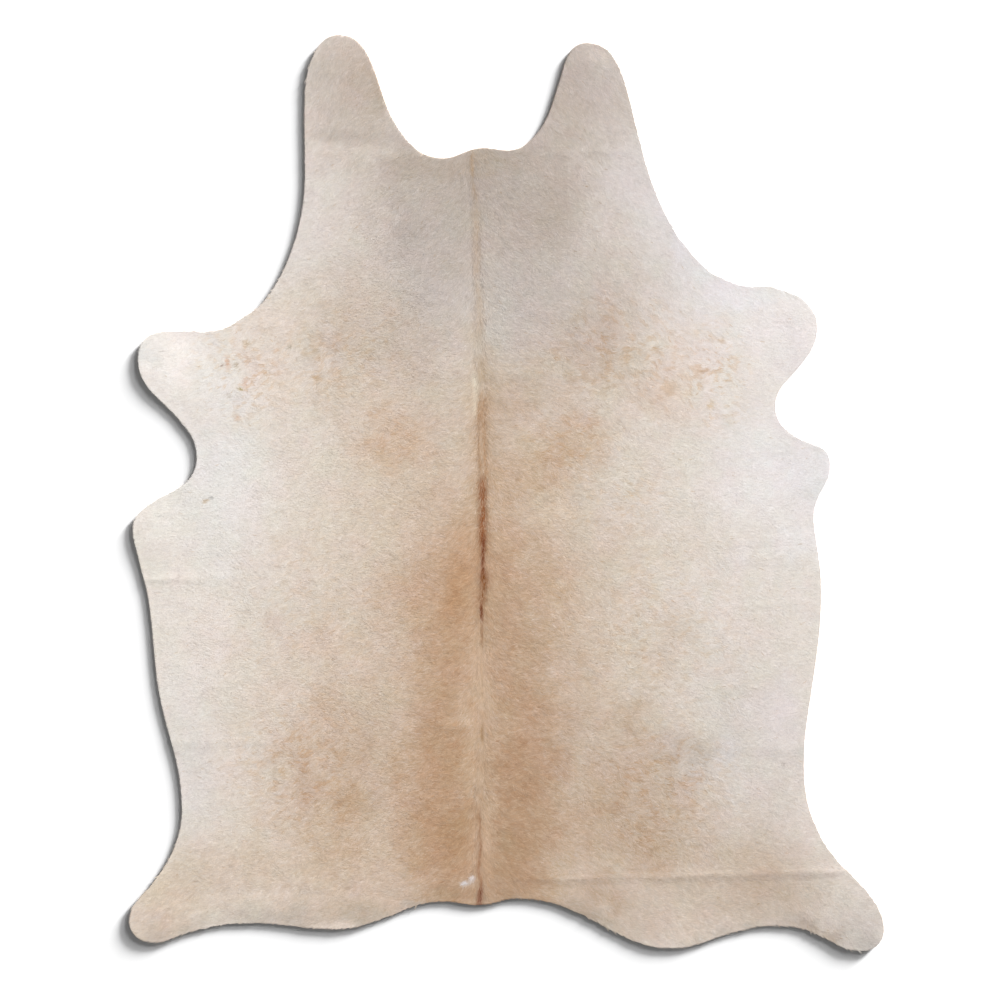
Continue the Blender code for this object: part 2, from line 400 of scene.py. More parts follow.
coatBase = (230, 222, 213)
patchColumns = ("acrossMm", "alongMm", "reachAcrossMm", "reachAlongMm", "tiltDeg", "strength", "tone")
patches = {
    "trunk, warm": (0, 840, 660, 1100, 0, 0.95, (211, 194, 176)),
    "hindquarters": (0, 330, 760, 520, 0, 0.80, (205, 186, 167)),
    "back, tan": (0, 560, 320, 860, 0, 0.90, (199, 173, 149)),
    "neck": (-10, 1860, 480, 600, 0, 0.95, (197, 185, 176)),
    "neck, grey": (-20, 1790, 280, 330, 0, 0.90, (186, 175, 165)),
    "left neck lobe": (-350, 2080, 200, 330, 0, 0.90, (202, 190, 180)),
    "left neck lobe, inner": (-290, 2050, 90, 190, 12, 0.70, (192, 178, 165)),
    "right neck lobe": (270, 2070, 200, 300, 0, 0.90, (203, 191, 182)),
    "right neck lobe, inner": (205, 2010, 70, 170, -14, 0.60, (196, 181, 170)),
    "left neck, edge": (-420, 1760, 110, 260, 0, 0.70, (221, 213, 207)),
    "right neck, edge": (470, 1740, 170, 260, 20, 0.85, (228, 222, 220)),
    "withers, light": (40, 1540, 150, 190, 0, 0.80, (201, 192, 184)),
    "left withers, brown": (-300, 1480, 220, 170, -15, 0.80, (200, 183, 167)),
    "left withers, inner": (-160, 1450, 90, 170, 0, 0.60, (199, 182, 166)),
    "right withers, brown": (270, 1470, 200, 130, 20, 0.80, (200, 182, 166)),
    "right withers, top": (320, 1620, 150, 110, 0, 0.50, (204, 192, 181)),
    "right withers, low": (370, 1390, 180, 100, 10, 0.70, (208, 190, 172)),
    "right withers, under": (110, 1350, 150, 80, 0, 0.55, (202, 185, 168)),
    "left shoulder, warm": (-540, 1380, 160, 160, 0, 0.75, (224, 207, 191)),
    "right shoulder, warm": (520, 1400, 180, 170, 0, 0.75, (228, 213, 199)),
    "left foreleg": (-750, 1420, 160, 150, 0, 0.90, (239, 232, 225)),
    "right foreleg": (730, 1520, 200, 180, 0, 0.95, (242, 235, 231)),
    "left armpit": (-640, 1150, 190, 230, 0, 0.90, (230, 226, 221)),
    "right flank, pale": (750, 1160, 220, 260, 0, 0.90, (237, 232, 230)),
    "left back, peach": (-215, 1240, 110, 110, 0, 0.60, (205, 180, 156)),
    "right back, tan": (205, 1215, 150, 80, 25, 0.80, (202, 176, 152)),
    "withers, tan": (0, 1240, 70, 190, 0, 0.70, (200, 176, 152)),
    "right back, peach": (80, 1130, 190, 100, 20, 0.75, (202, 176, 151)),
    "left ribs": (-450, 780, 200, 230, -30, 0.50, (212, 197, 181)),
    "left ribs, low": (-320, 620, 150, 120, 30, 0.45, (204, 184, 164)),
    "right ribs": (440, 720, 180, 130, 0, 0.65, (209, 193, 176)),
    "back, red brown": (-20, 860, 170, 260, 0, 0.85, (192, 160, 132)),
    "left column": (-100, 360, 118, 600, 0, 0.90, (185, 153, 125)),
    "right column": (108, 320, 122, 540, 0, 0.90, (183, 152, 124)),
    "back, pale parting": (6, 590, 48, 230, 0, 0.75, (200, 175, 152)),
    "left hip": (-390, 440, 190, 230, 0, 0.70, (199, 174, 151)),
    "left hip, low": (-370, 260, 190, 130, 0, 0.65, (201, 178, 156)),
    "right hip": (380, 380, 180, 250, 0, 0.80, (194, 171, 149)),
    "right croup": (290, 320, 130, 170, 0, 0.50, (195, 170, 147)),
    "left loin, pale stripe": (-250, 450, 60, 320, 0, 0.50, (201, 182, 165)),
    "right loin, pale stripe": (255, 540, 65, 280, 0, 0.50, (203, 183, 166)),
    "left flank, low": (-700, 420, 130, 330, 0, 0.80, (219, 212, 206)),
    "right flank, low": (690, 470, 150, 330, 0, 0.85, (217, 208, 200)),
    "right flank, cool": (585, 520, 90, 260, 0, 0.60, (214, 205, 196)),
    "left thigh": (-640, 160, 260, 150, 0, 0.80, (212, 197, 180)),
    "left hind leg": (-800, 74, 150, 110, 0, 0.80, (208, 193, 177)),
    "right thigh": (610, 190, 310, 190, 0, 0.80, (199, 181, 163)),
    "right hind leg": (930, 70, 130, 130, 0, 0.85, (208, 199, 190)),
    "left rump": (-336, 120, 240, 110, 0, 0.70, (203, 184, 167)),
    "right rump": (420, 90, 240, 110, 0, 0.70, (202, 186, 171)),
    "root of the tail": (0, 150, 170, 110, 0, 0.60, (180, 150, 123)),
    "neck, cool left": (-130, 1570, 110, 190, 0, 0.60, (193, 185, 179)),
    "neck, cool right": (170, 1570, 150, 150, 0, 0.60, (196, 186, 179)),
    "neck, right of the nape": (165, 1770, 90, 110, 0, 0.60, (186, 173, 161)),
    "neck, left of the nape": (-150, 1880, 110, 60, 20, 0.60, (181, 168, 155)),
    "nape, warm": (0, 1885, 130, 45, 0, 0.55, (183, 168, 151)),
    "neck, warm line": (20, 1450, 55, 150, 0, 0.50, (206, 188, 168)),
    "left neck lobe, low": (-350, 1965, 110, 80, 0, 0.60, (197, 185, 174)),
    "left withers, cream": (-455, 1520, 110, 110, 20, 0.75, (225, 212, 198)),
    "right foreleg, cool": (590, 1590, 130, 90, 0, 0.75, (238, 233, 233)),
    "left withers, low": (-320, 1335, 110, 80, 0, 0.60, (208, 190, 171)),
    "right withers, middle": (240, 1430, 110, 70, 15, 0.65, (197, 178, 161)),
    "right withers, inner": (85, 1300, 80, 70, 0, 0.60, (198, 177, 156)),
    "right shoulder, tan": (450, 1340, 90, 70, 0, 0.55, (219, 200, 183)),
    "left back, tan": (-190, 1225, 90, 80, 0, 0.60, (206, 181, 157)),
    "left of the dark line": (-45, 880, 60, 90, 0, 0.65, (186, 147, 114)),
    "left column, pale edge": (-135, 850, 60, 110, 0, 0.40, (204, 176, 152)),
    "right back, low": (175, 850, 80, 150, 0, 0.55, (203, 175, 151)),
    "left ribs, peach": (-345, 750, 100, 70, 0, 0.60, (210, 188, 169)),
    "right ribs, low": (355, 565, 110, 90, 0, 0.65, (200, 180, 161)),
    "right flank, grey": (488, 448, 76, 86, 0, 0.70, (195, 182, 170)),
    "right flank, pale edge": (715, 560, 90, 130, 0, 0.65, (226, 218, 215)),
    "left flank, pale edge": (-690, 610, 80, 130, 0, 0.55, (231, 223, 216)),
    "left hip, upper": (-285, 465, 90, 90, 0, 0.60, (195, 171, 150)),
    "left hip, lower": (-320, 340, 100, 80, 0, 0.70, (194, 167, 142)),
    "left column, low": (-45, 280, 60, 110, 0, 0.65, (178, 145, 114)),
    "right column, pale": (190, 480, 50, 90, 0, 0.30, (200, 177, 158)),
    "right croup, brown": (440, 265, 90, 80, 0, 0.80, (192, 167, 143)),
    "right croup, upper": (505, 310, 80, 70, 0, 0.60, (199, 178, 159)),
    "right thigh, brown": (680, 150, 130, 80, 0, 0.70, (194, 175, 157)),
    "right thigh, upper": (790, 150, 120, 90, 0, 0.55, (202, 188, 174)),
    "left thigh, orange": (-480, 190, 240, 60, 0, 0.50, (206, 187, 167)),
    "left of the tail": (-100, 140, 80, 40, 0, 0.65, (173, 149, 124)),
    "left rump, edge": (-290, 85, 110, 40, 0, 0.65, (188, 171, 153)),
    "right neck lobe, upper": (300, 2125, 75, 80, 0, 0.60, (217, 206, 199)),
    "right neck, pale": (340, 1875, 75, 95, 0, 0.60, (224, 215, 212)),
    "neck, middle": (20, 1690, 80, 120, 0, 0.60, (204, 192, 182)),
    "right foreleg, inner": (735, 1447, 95, 70, 0, 0.60, (248, 240, 236)),
    # Painted shade: the left foreleg's tip is greyer beside the shadow that falls past it.
    "left foreleg, painted tip shade": (-811, 1452, 55, 45, 0, 0.60, (215, 214, 211)),
    "right flap": (800, 1128, 85, 75, 0, 0.60, (242, 240, 238)),
    "right loin, pale": (211, 571, 45, 95, 0, 0.60, (205, 187, 172)),
    "left column, tail end": (-166, 247, 50, 70, 0, 0.60, (185, 158, 131)),
    "left hip, tail end": (-322, 212, 85, 55, 0, 0.60, (197, 171, 148)),
    "left hind leg, upper": (-715, 128, 130, 55, 0, 0.65, (198, 181, 162)),
    # The patches from here to the right hind leg's tip, apart from the right rump's warm one, make the coat
    # darker and greyer along the hind edge. This is in part its own darker edge and in part painted shade
    # beside the shadow that falls below the rug.
    "left hind leg, low": (-705, 46, 150, 48, 0, 0.65, (178, 166, 153)),
    "left thigh, edge": (-490, 76, 140, 32, 0, 0.60, (178, 169, 157)),
    "left rump, low edge": (-275, 64, 100, 32, 0, 0.60, (176, 165, 152)),
    "left of the tail, edge": (-160, 98, 60, 28, 0, 0.60, (175, 165, 153)),
    "right of the tail, edge": (78, 112, 60, 28, 0, 0.60, (160, 147, 132)),
    "right rump, low edge": (262, 92, 100, 44, -20, 0.65, (165, 150, 133)),
    "right rump, warm": (315, 148, 75, 45, 0, 0.60, (188, 164, 142)),
    "right thigh, low edge": (600, 36, 150, 36, 6, 0.65, (173, 164, 155)),
    "right hind leg, low": (785, 54, 140, 52, -14, 0.65, (168, 154, 139)),
    "right hind leg, tip": (938, 8, 45, 45, 0, 0.60, (180, 175, 169)),
    "left neck lobe, inner side": (-262, 2085, 32, 85, 12, 0.60, (182, 167, 152)),
    "right foreleg, root": (511, 1649, 60, 50, 0, 0.60, (235, 232, 230)),
    "withers, right of the line": (58, 1519, 45, 70, 0, 0.60, (207, 201, 192)),
    "left of the withers": (-103, 1298, 50, 60, 0, 0.60, (200, 183, 166)),
    "back, right, pale": (115, 1212, 45, 55, 0, 0.60, (212, 195, 176)),
    "back, right, pale low": (168, 1054, 45, 70, 0, 0.60, (219, 201, 180)),
    "back, beside the line": (58, 994, 38, 60, 0, 0.60, (208, 183, 160)),
    "loin, right, pale": (192, 648, 40, 60, 0, 0.60, (210, 188, 171)),
    "loin, right, pale low": (142, 583, 35, 50, 0, 0.60, (200, 173, 150)),
    "croup, right of the line": (55, 518, 40, 60, 0, 0.60, (199, 173, 150)),
    "tail, on the line": (-17, 300, 30, 50, 0, 0.60, (178, 148, 117)),
    "tail, right of the line": (60, 259, 36, 45, 0, 0.60, (174, 145, 115)),
    "right neck lobe, top": (271, 2160, 50, 24, 0, 0.60, (217, 205, 195)),
    "right foreleg, inner side": (751, 1452, 50, 50, 0, 0.60, (246, 238, 235)),
    "right belly, pale": (578, 487, 50, 60, 0, 0.60, (216, 209, 206)),
    "left foreleg, root": (-718, 1406, 40, 40, 0, 0.60, (231, 224, 215)),
    "right rump, warm top": (319, 194, 45, 32, 0, 0.60, (192, 167, 148)),
    # Painted shade: a thin grey band along the left neck's edge, beside the shadow that falls there.
    "left neck, painted edge shade": (-432, 1826, 24, 60, 0, 0.60, (176, 173, 169)),
    "right neck, pale edge": (450, 1712, 34, 70, 20, 0.55, (230, 226, 225)),
    "right withers, pale": (434, 1538, 60, 50, 0, 0.55, (229, 219, 210)),
    "right foreleg, top edge": (655, 1566, 110, 28, 0, 0.55, (242, 239, 238)),
    "right foreleg, tip": (766, 1478, 45, 35, 0, 0.55, (247, 239, 236)),
    "right shoulder, pale": (497, 1351, 40, 40, 0, 0.50, (232, 219, 206)),
    "right shoulder, pale low": (434, 1282, 50, 40, 0, 0.55, (226, 217, 208)),
    "right back, pale": (281, 1219, 45, 40, 0, 0.55, (216, 200, 182)),
    "right flap, low": (799, 1100, 40, 45, 0, 0.55, (239, 236, 235)),
    "right belly, pale top": (755, 960, 75, 60, 0, 0.55, (236, 232, 230)),
    "right belly, pale inner": (614, 929, 50, 50, 0, 0.55, (232, 225, 221)),
    "left belly, pale top": (-636, 950, 60, 60, 0, 0.55, (234, 229, 225)),
    "back, left of the line": (-46, 955, 30, 50, 0, 0.55, (204, 173, 147)),
    "back, right of the line": (46, 986, 22, 60, 0, 0.50, (204, 178, 153)),
    "right neck lobe, middle": (275, 2065, 55, 70, 0, 0.55, (208, 197, 190)),
    "left neck lobe, middle": (-310, 2070, 55, 60, 0, 0.50, (188, 174, 160)),
    "neck, grey left of the line": (-165, 1738, 55, 80, 0, 0.55, (178, 170, 162)),
    "left ribs, tan spot": (-487, 802, 40, 45, 0, 0.55, (206, 188, 175)),
    "left hip, tan": (-405, 395, 55, 95, 0, 0.50, (194, 170, 149)),
    "left hip, brown spot": (-245, 355, 38, 38, 0, 0.55, (182, 164, 143)),
    "loin, left of the line": (-48, 600, 32, 110, 0, 0.50, (186, 157, 128)),
    "loin, right of the line": (95, 560, 45, 60, 0, 0.50, (202, 173, 149)),
    "right hip, orange spot": (334, 334, 34, 34, 0, 0.55, (187, 156, 131)),
    "left thigh, warm": (-295, 146, 60, 28, 0, 0.50, (196, 175, 156)),
    "left hind leg, warm": (-714, 82, 55, 34, 0, 0.50, (200, 182, 165)),
    "right hind leg, warm edge": (830, 60, 55, 28, 0, 0.55, (187, 173, 157)),
}

# Small marks in the coat, most of them curls of darker hair on the shoulders.
marks = {
    "round the white spot": (-26, 163, 24, 13, 0, 0.65, (206, 188, 172)),
    "white spot": (-19, 173, 9, 10, 0, 0.85, (230, 230, 234)),
    "white spot, left": (-36, 162, 11, 7, 0, 0.80, (226, 226, 230)),
    "white spot, top": (-13, 178, 5, 5, 0, 0.50, (228, 226, 228)),
    "brown nick": (-657, 1081, 11, 5, 10, 0.75, (190, 164, 128)),
    "brown nick, grey end": (-642, 1087, 6, 6, 0, 0.85, (160, 160, 157)),
    "scratch on the neck": (-48, 1846, 3, 58, 8, 0.70, (166, 156, 144)),
    "left flank, grey": (-722, 475, 9, 7, 0, 0.70, (196, 188, 180)),
    "right flank, dark": (727, 451, 6, 6, 0, 0.95, (164, 154, 148)),
    "right flank, grey green": (772, 478, 20, 24, 0, 0.50, (204, 202, 194)),
    "right curl, top": (581, 1466, 10, 11, 0, 0.65, (207, 180, 150)),
    "right curl, dark": (540, 1390, 12, 9, 20, 0.65, (188, 148, 106)),
    "right curl, broad": (451, 1351, 24, 23, 30, 0.75, (212, 187, 163)),
    "right curl, low": (552, 1310, 12, 17, -20, 0.50, (213, 188, 146)),
    "right curl, inner": (408, 1274, 9, 8, 0, 0.35, (200, 180, 155)),
    "right curl, under": (535, 1362, 18, 8, 20, 0.35, (210, 185, 160)),
    "left curl, top": (-558, 1459, 10, 6, -30, 0.90, (202, 182, 156)),
    "left curl, outer": (-604, 1411, 8, 24, 8, 0.90, (213, 180, 157)),
    "left curl, outer dark": (-617, 1406, 5, 5, 0, 0.80, (148, 118, 104)),
    "left curl, brown": (-583, 1404, 7, 9, 0, 0.75, (178, 160, 136)),
    "left curl, orange": (-559, 1361, 9, 18, -10, 0.65, (206, 168, 140)),
    "left curl, olive": (-570, 1346, 8, 6, 0, 0.90, (188, 174, 130)),
    "left curl, dark": (-600, 1332, 9, 5, -35, 0.55, (156, 140, 116)),
    "left curl, low": (-578, 1279, 8, 12, 10, 0.75, (213, 184, 160)),
    "left curl, inner": (-391, 1375, 18, 7, 0, 0.65, (189, 156, 116)),
    "left curl, inner dot": (-390, 1356, 4, 4, 0, 1.00, (126, 118, 106)),
    "left curl, inner top": (-490, 1440, 7, 6, 0, 0.50, (198, 160, 124)),
    "left curl, middle": (-391, 1442, 10, 7, 0, 0.65, (186, 168, 144)),
    "left curl, grey": (-456, 1450, 7, 7, 0, 0.80, (164, 160, 146)),
}

# The line along the backbone, stretch by stretch from the nape to the tail. The aside is to the right.
stripeColumns = ("fromMm", "toMm", "asideMm", "halfWidthMm", "strength", "tone")
stripes = {
    "nape, shade": (1935, 1880, 8, 14, 0.28, (183, 158, 130)),
    "nape, orange": (1925, 1845, 1, 4, 0.62, (172, 142, 108)),
    "neck, upper": (1860, 1780, 0, 7, 0.60, (175, 155, 134)),
    "neck, middle": (1800, 1600, 0, 9, 0.65, (188, 167, 146)),
    "neck, low": (1620, 1450, 1, 9, 0.65, (192, 174, 154)),
    "withers, fold": (1440, 1350, 4, 14, 0.75, (189, 168, 144)),
    "withers, pale side": (1400, 1270, -13, 6, 1.00, (226, 215, 196)),
    "withers, shade": (1365, 1120, 6, 22, 0.55, (192, 164, 138)),
    "withers, top": (1345, 1245, 2, 10, 0.55, (174, 136, 103)),
    "withers, left strand": (1320, 1130, -6, 4, 0.58, (174, 136, 101)),
    "withers, right strand": (1290, 1120, 7, 5, 0.62, (180, 143, 110)),
    "back, shade": (1160, 930, 0, 15, 0.60, (170, 131, 97)),
    "back, brown": (1150, 960, 0, 8, 0.76, (142, 86, 38)),
    "back, dark": (1010, 872, 1, 5, 1.15, (124, 74, 30)),
    "back, below": (925, 820, 1, 9, 0.78, (136, 87, 40)),
    "back, left shade": (872, 836, -10, 8, 0.50, (166, 130, 98)),
    "back, dark mark": (850, 778, 1, 4, 1.30, (122, 74, 26)),
    "loin, thin": (800, 715, 1, 3, 0.65, (146, 108, 78)),
    "loin, pale left side": (785, 712, -9, 7, 0.50, (210, 182, 155)),
    "loin, pale parting": (740, 575, 0, 18, 0.62, (213, 186, 160)),
    "loin, thread": (730, 590, 1, 2, 0.28, (178, 146, 116)),
    "croup, pale parting": (600, 380, -2, 22, 0.40, (207, 180, 154)),
    "loin, tan mark": (555, 492, 1, 3, 0.95, (162, 128, 90)),
    "tail, pale sides": (335, 130, 2, 26, 0.35, (202, 170, 143)),
    "croup, pale right side": (360, 212, 16, 9, 0.60, (213, 185, 159)),
    "croup, thin": (352, 225, 1, 3, 0.48, (140, 98, 64)),
    "tail, pale right side": (250, 165, 20, 10, 0.50, (208, 177, 149)),
    "tail, red brown": (268, 95, 1, 4, 0.55, (138, 90, 56)),
    "tail, darkest": (172, 84, 1, 6, 0.76, (116, 64, 36)),
}

# Where flecks of tan hair stand out of the paler coat.
fleckColumns = ("acrossMm", "alongMm", "reachAcrossMm", "reachAlongMm", "strength")
flecks = {
    "left shoulder": (-560, 1385, 140, 165, 0.78),
    "left withers": (-330, 1430, 230, 170, 0.44),
    "right shoulder": (560, 1390, 115, 150, 0.84),
    "right withers": (340, 1430, 230, 170, 0.66),
    "right back": (220, 1220, 190, 130, 0.50),
    "right back, low": (330, 1070, 200, 110, 0.40),
    "left back": (-215, 1240, 120, 120, 0.40),
    "left ribs": (-400, 800, 300, 260, 0.25),
    "right ribs": (420, 760, 300, 260, 0.35),
    "left hip": (-420, 440, 210, 220, 0.70),
    "right hip": (420, 400, 220, 240, 0.60),
    "back": (0, 430, 250, 520, 0.30),
}

backboneLine = {
    "alongMm": (
        110, 161, 205, 247, 334, 506, 823, 881, 1000, 1140, 1280, 1342, 1409, 1490, 1634, 1802, 1870, 1930),
    "acrossMm": (-1, 1, -4, 1, -1, 4, 4, 8, 7, 7, 4, 6, -2, 0, -7, -10, -19, -22),
}


def backboneAcross(along):
    return np.interp(along, backboneLine["alongMm"], backboneLine["acrossMm"])


# A patch fades out from its middle, and nothing of it is left at so many of its reaches.
patchFade = {"rate": 2.2, "power": 2.4, "ends": 1.7}


def ovalShare(places, patch, tilt=0.0):
    turn = math.radians(tilt)
    x = places[:, 0] - patch["acrossMm"]
    y = places[:, 1] - patch["alongMm"]
    u = (x * math.cos(turn) + y * math.sin(turn)) / patch["reachAcrossMm"]
    v = (y * math.cos(turn) - x * math.sin(turn)) / patch["reachAlongMm"]
    return np.exp(-patchFade["rate"] * np.hypot(u, v) ** patchFade["power"])


# How far the places of each kind of colour wander, in mm: by broad waves, by fine ones, and the seed.
wander = {"broadCell": 130 * mm, "middleCell": 55 * mm, "middleShare": 0.6, "fineCell": 22 * mm}
wanderings = {
    "patches": (26.0, 12.0, 100),
    "stripes": (1.2, 1.6, 120),
    "flecks": (26.0, 14.0, 140),
    "marks": (2.0, 3.0, 160),
}


def wandering(spots, kind):
    broad, fine, seed = wanderings[kind]
    middle = wander["middleShare"] * broad
    shifts = [
        mixedNoise(
            spots,
            (broad, wander["broadCell"], seed + axis),
            (middle, wander["middleCell"], seed + 3 + axis),
            (fine, wander["fineCell"], seed + 6 + axis))
        for axis in (0, 1)
    ]
    return acrossAlongOf(spots) + np.stack(shifts, 1)


# The studio's light and the shine of the hair change its own colour by this much. Mixed hairs even the
# colours out, so those differ a little more from the middle one.
hairLook = {
    "share": np.array((1.012, 1.022, 1.016)),
    "glow": np.array((0.031, 0.027, 0.028)),
    "middle": (213, 205, 192),
    "contrast": np.array((1.02, 1.04, 1.05)),
    "least": 0.004,
}


def hairTone(tone):
    middle = linearOf(hairLook["middle"])
    tone = middle * (linearOf(tone) / middle) ** hairLook["contrast"]
    return np.maximum((tone - hairLook["glow"]) / hairLook["share"], hairLook["least"])


def layPatches(places, tint, table):
    for patch in rowsOf(patchColumns, table):
        reach = patchFade["ends"] * max(patch["reachAcrossMm"], patch["reachAlongMm"])
        near = np.abs(places - (patch["acrossMm"], patch["alongMm"])).max(1) < reach
        share = patch["strength"] * ovalShare(places[near], patch, patch["tiltDeg"])
        tint[near] += share[:, None] * (hairTone(patch["tone"]) - tint[near])


def coatTintAndShade(spots):
    tint = np.tile(hairTone(coatBase), (len(spots), 1))
    layPatches(wandering(spots, "patches"), tint, patches)
    return tint


# The marks and the backbone line. Not every hair there is dark.
stripeLook = {"reachMm": 60, "endMm": 30, "own": (0.35, 1.35), "rate": 0.8, "power": 2.2}


def markTint(spots, tint, randoms):
    tint, look = tint.copy(), stripeLook
    layPatches(wandering(spots, "marks"), tint, marks)
    places = wandering(spots, "stripes")
    offset = places[:, 0] - backboneAcross(places[:, 1])
    near = np.abs(offset) < look["reachMm"]
    along, offset, tinted = places[near, 1], offset[near], tint[near]
    own = randoms.uniform(*look["own"], len(along))
    for stripe in rowsOf(stripeColumns, stripes):
        ends = smoothStep((stripe["fromMm"] - along) / look["endMm"])
        ends = ends * smoothStep((along - stripe["toMm"]) / look["endMm"])
        aside = np.abs(offset - stripe["asideMm"]) / stripe["halfWidthMm"]
        fade = np.exp(-look["rate"] * aside ** look["power"])
        share = np.minimum(stripe["strength"] * own, 1.0) * ends * fade
        tinted += share[:, None] * (hairTone(stripe["tone"]) - tinted)
    tint[near] = tinted
    return tint


def fleckShare(spots):
    places = wandering(spots, "flecks")
    share = np.zeros(len(spots))
    for patch in rowsOf(fleckColumns, flecks):
        share = np.maximum(share, patch["strength"] * ovalShare(places, patch))
    return share


# Tan and pale hairs grow mixed. Each lock has more or less of the tan ones, most where the coat is warm.
# A streak is the mm that it is drawn out, its cell and its seed, and broad and pink hills are as above.
mixing = {
    "tanWay": np.array((-0.25, -0.42, -0.65)),
    "least": 0.05,
    "most": 0.24,
    "paleRatio": 1.15,  # of red to blue
    "warmRatio": 0.8,  # above that
    "clump": 1.3,
    "clumpStreak": (2.5, 4.5 * mm, 51),
    "broad": 0.42,
    "broadHills": ((1.0, 30 * mm, 52), (0.7, 75 * mm, 54)),
    "own": 0.6,
    "pinkWay": np.array((0.5, -0.5, 0.2)),
    "pink": 0.016,
    "pinkHills": ((1.0, 24 * mm, 56), (1.0, 60 * mm, 57)),
    "dark": 0.8,
    "darkOwn": (0.4, 1.0),
    "darkHairs": 0.003,
    "darkInFlecks": 0.02,
}
fleckLook = {
    "way": np.array((-0.15, -0.34, -0.57)),
    "streak": (3, 7.5 * mm, 53),
    "streakShare": 1.3,
    "broadShare": 0.25,
    "starts": 0.20,
    "full": 0.35,  # above that
    "own": (0.4, 1.2),
    "paler": 0.22,  # between the flecks
}


def warmthOf(tint):
    return np.clip((tint[:, 0] / tint[:, 2] - mixing["paleRatio"]) / mixing["warmRatio"], 0.0, 1.0)


def mixedTint(spots, way, tint, randoms):
    count = len(spots)
    clump = streakNoise(spots, way, *mixing["clumpStreak"])
    broad = mixedNoise(spots, *mixing["broadHills"])
    amount = mixing["least"] + (mixing["most"] - mixing["least"]) * warmthOf(tint)
    own = randoms.normal(0.0, mixing["own"], count)
    spread = amount * (mixing["clump"] * clump + mixing["broad"] * broad + own)
    share = fleckShare(spots)
    blot = fleckLook["streakShare"] * streakNoise(spots, way, *fleckLook["streak"])
    blot = blot + fleckLook["broadShare"] * broad
    blot = smoothStep((blot - fleckLook["starts"]) / fleckLook["full"])
    fleck = share * (blot * randoms.uniform(*fleckLook["own"], count) - fleckLook["paler"])
    isDark = randoms.uniform(size=count) < mixing["darkHairs"] + mixing["darkInFlecks"] * share
    dark = mixing["dark"] * isDark * randoms.uniform(*mixing["darkOwn"], count)
    pink = mixing["pink"] * mixedNoise(spots, *mixing["pinkHills"])
    change = (spread + dark)[:, None] * mixing["tanWay"] + fleck[:, None] * fleckLook["way"]
    change += pink[:, None] * mixing["pinkWay"]
    return tint * np.exp(change)


# Which way the hair lies: out from the backbone and a little towards the tail, more so on the neck and rump.
# Each wobble is in degrees, with its cell and seed.
lyingWay = {
    "alongMm": (0, 120, 350, 600, 900, 1200, 1450, 1700, 1900, 2200),
    "tiltDeg": (32, 26, 18, 9, 7, 9, 16, 26, 36, 55),
    "backboneDeg": 84,
    "backboneReachMm": 30,
    "backboneCalm": 0.7,
    "wobbles": ((12, 170 * mm, 31), (14, 48 * mm, 32), (18, 19 * mm, 34)),
    "whorl": (60, 22 * mm, 33),  # where flecks grow
}


def hairWay(spots):
    places = acrossAlongOf(spots)
    across = places[:, 0] - backboneAcross(places[:, 1])
    tilt = np.interp(places[:, 1], lyingWay["alongMm"], lyingWay["tiltDeg"])
    atBackbone = np.exp(-np.abs(across) / lyingWay["backboneReachMm"])
    tilt = tilt + (lyingWay["backboneDeg"] - tilt) * atBackbone
    wobble = mixedNoise(spots, *lyingWay["wobbles"])
    whorl = mixedNoise(spots, lyingWay["whorl"]) * fleckShare(spots)
    tilt = np.radians(tilt + (wobble + whorl) * (1 - lyingWay["backboneCalm"] * atBackbone))
    return np.where(across >= 0, -tilt, math.pi + tilt)


# Shader groups that the hair and leather materials share.

def newGroup(name, inputs, outputs):
    tree = bpy.data.node_groups.new(name, "ShaderNodeTree")
    for label, kind, value in inputs:
        socket = tree.interface.new_socket(label, in_out="INPUT", socket_type=kind)
        socket.default_value = value
    for label, kind in outputs:
        tree.interface.new_socket(label, in_out="OUTPUT", socket_type=kind)
    entry = tree.nodes.new("NodeGroupInput")
    leave = tree.nodes.new("NodeGroupOutput")
    entry.location, leave.location = (-900, 0), (600, 0)
    return tree, entry, leave


# A node's settings, then the values of its inputs, or what is linked to them.
def addNode(tree, kind, place, values=None, **settings):
    node = tree.nodes.new(kind)
    node.location = place
    for name, value in settings.items():
        setattr(node, name, value)
    for name, value in (values or {}).items():
        if isinstance(value, bpy.types.NodeSocket):
            tree.links.new(value, node.inputs[name])
        else:
            node.inputs[name].default_value = value
    return node


def addMath(tree, operation, place, *values, clamp=False):
    values = dict(enumerate(values))
    return addNode(tree, "ShaderNodeMath", place, values, operation=operation, use_clamp=clamp).outputs[0]


def addVector(tree, operation, place, values):
    return addNode(tree, "ShaderNodeVectorMath", place, values, operation=operation).outputs[0]


def addNoise(tree, place, vector, scale, detail, roughness=0.5, output="Fac"):
    values = {"Scale": scale, "Detail": detail, "Roughness": roughness, "Vector": vector}
    return addNode(tree, "ShaderNodeTexNoise", place, values).outputs[output]


# Hair colour: the coat's tint, lighter or darker with the tone, and paler at the tips.
hairShade = {"tips": 0.07, "middle": 0.965, "roughness": 0.6, "roughnessChange": 0.08}


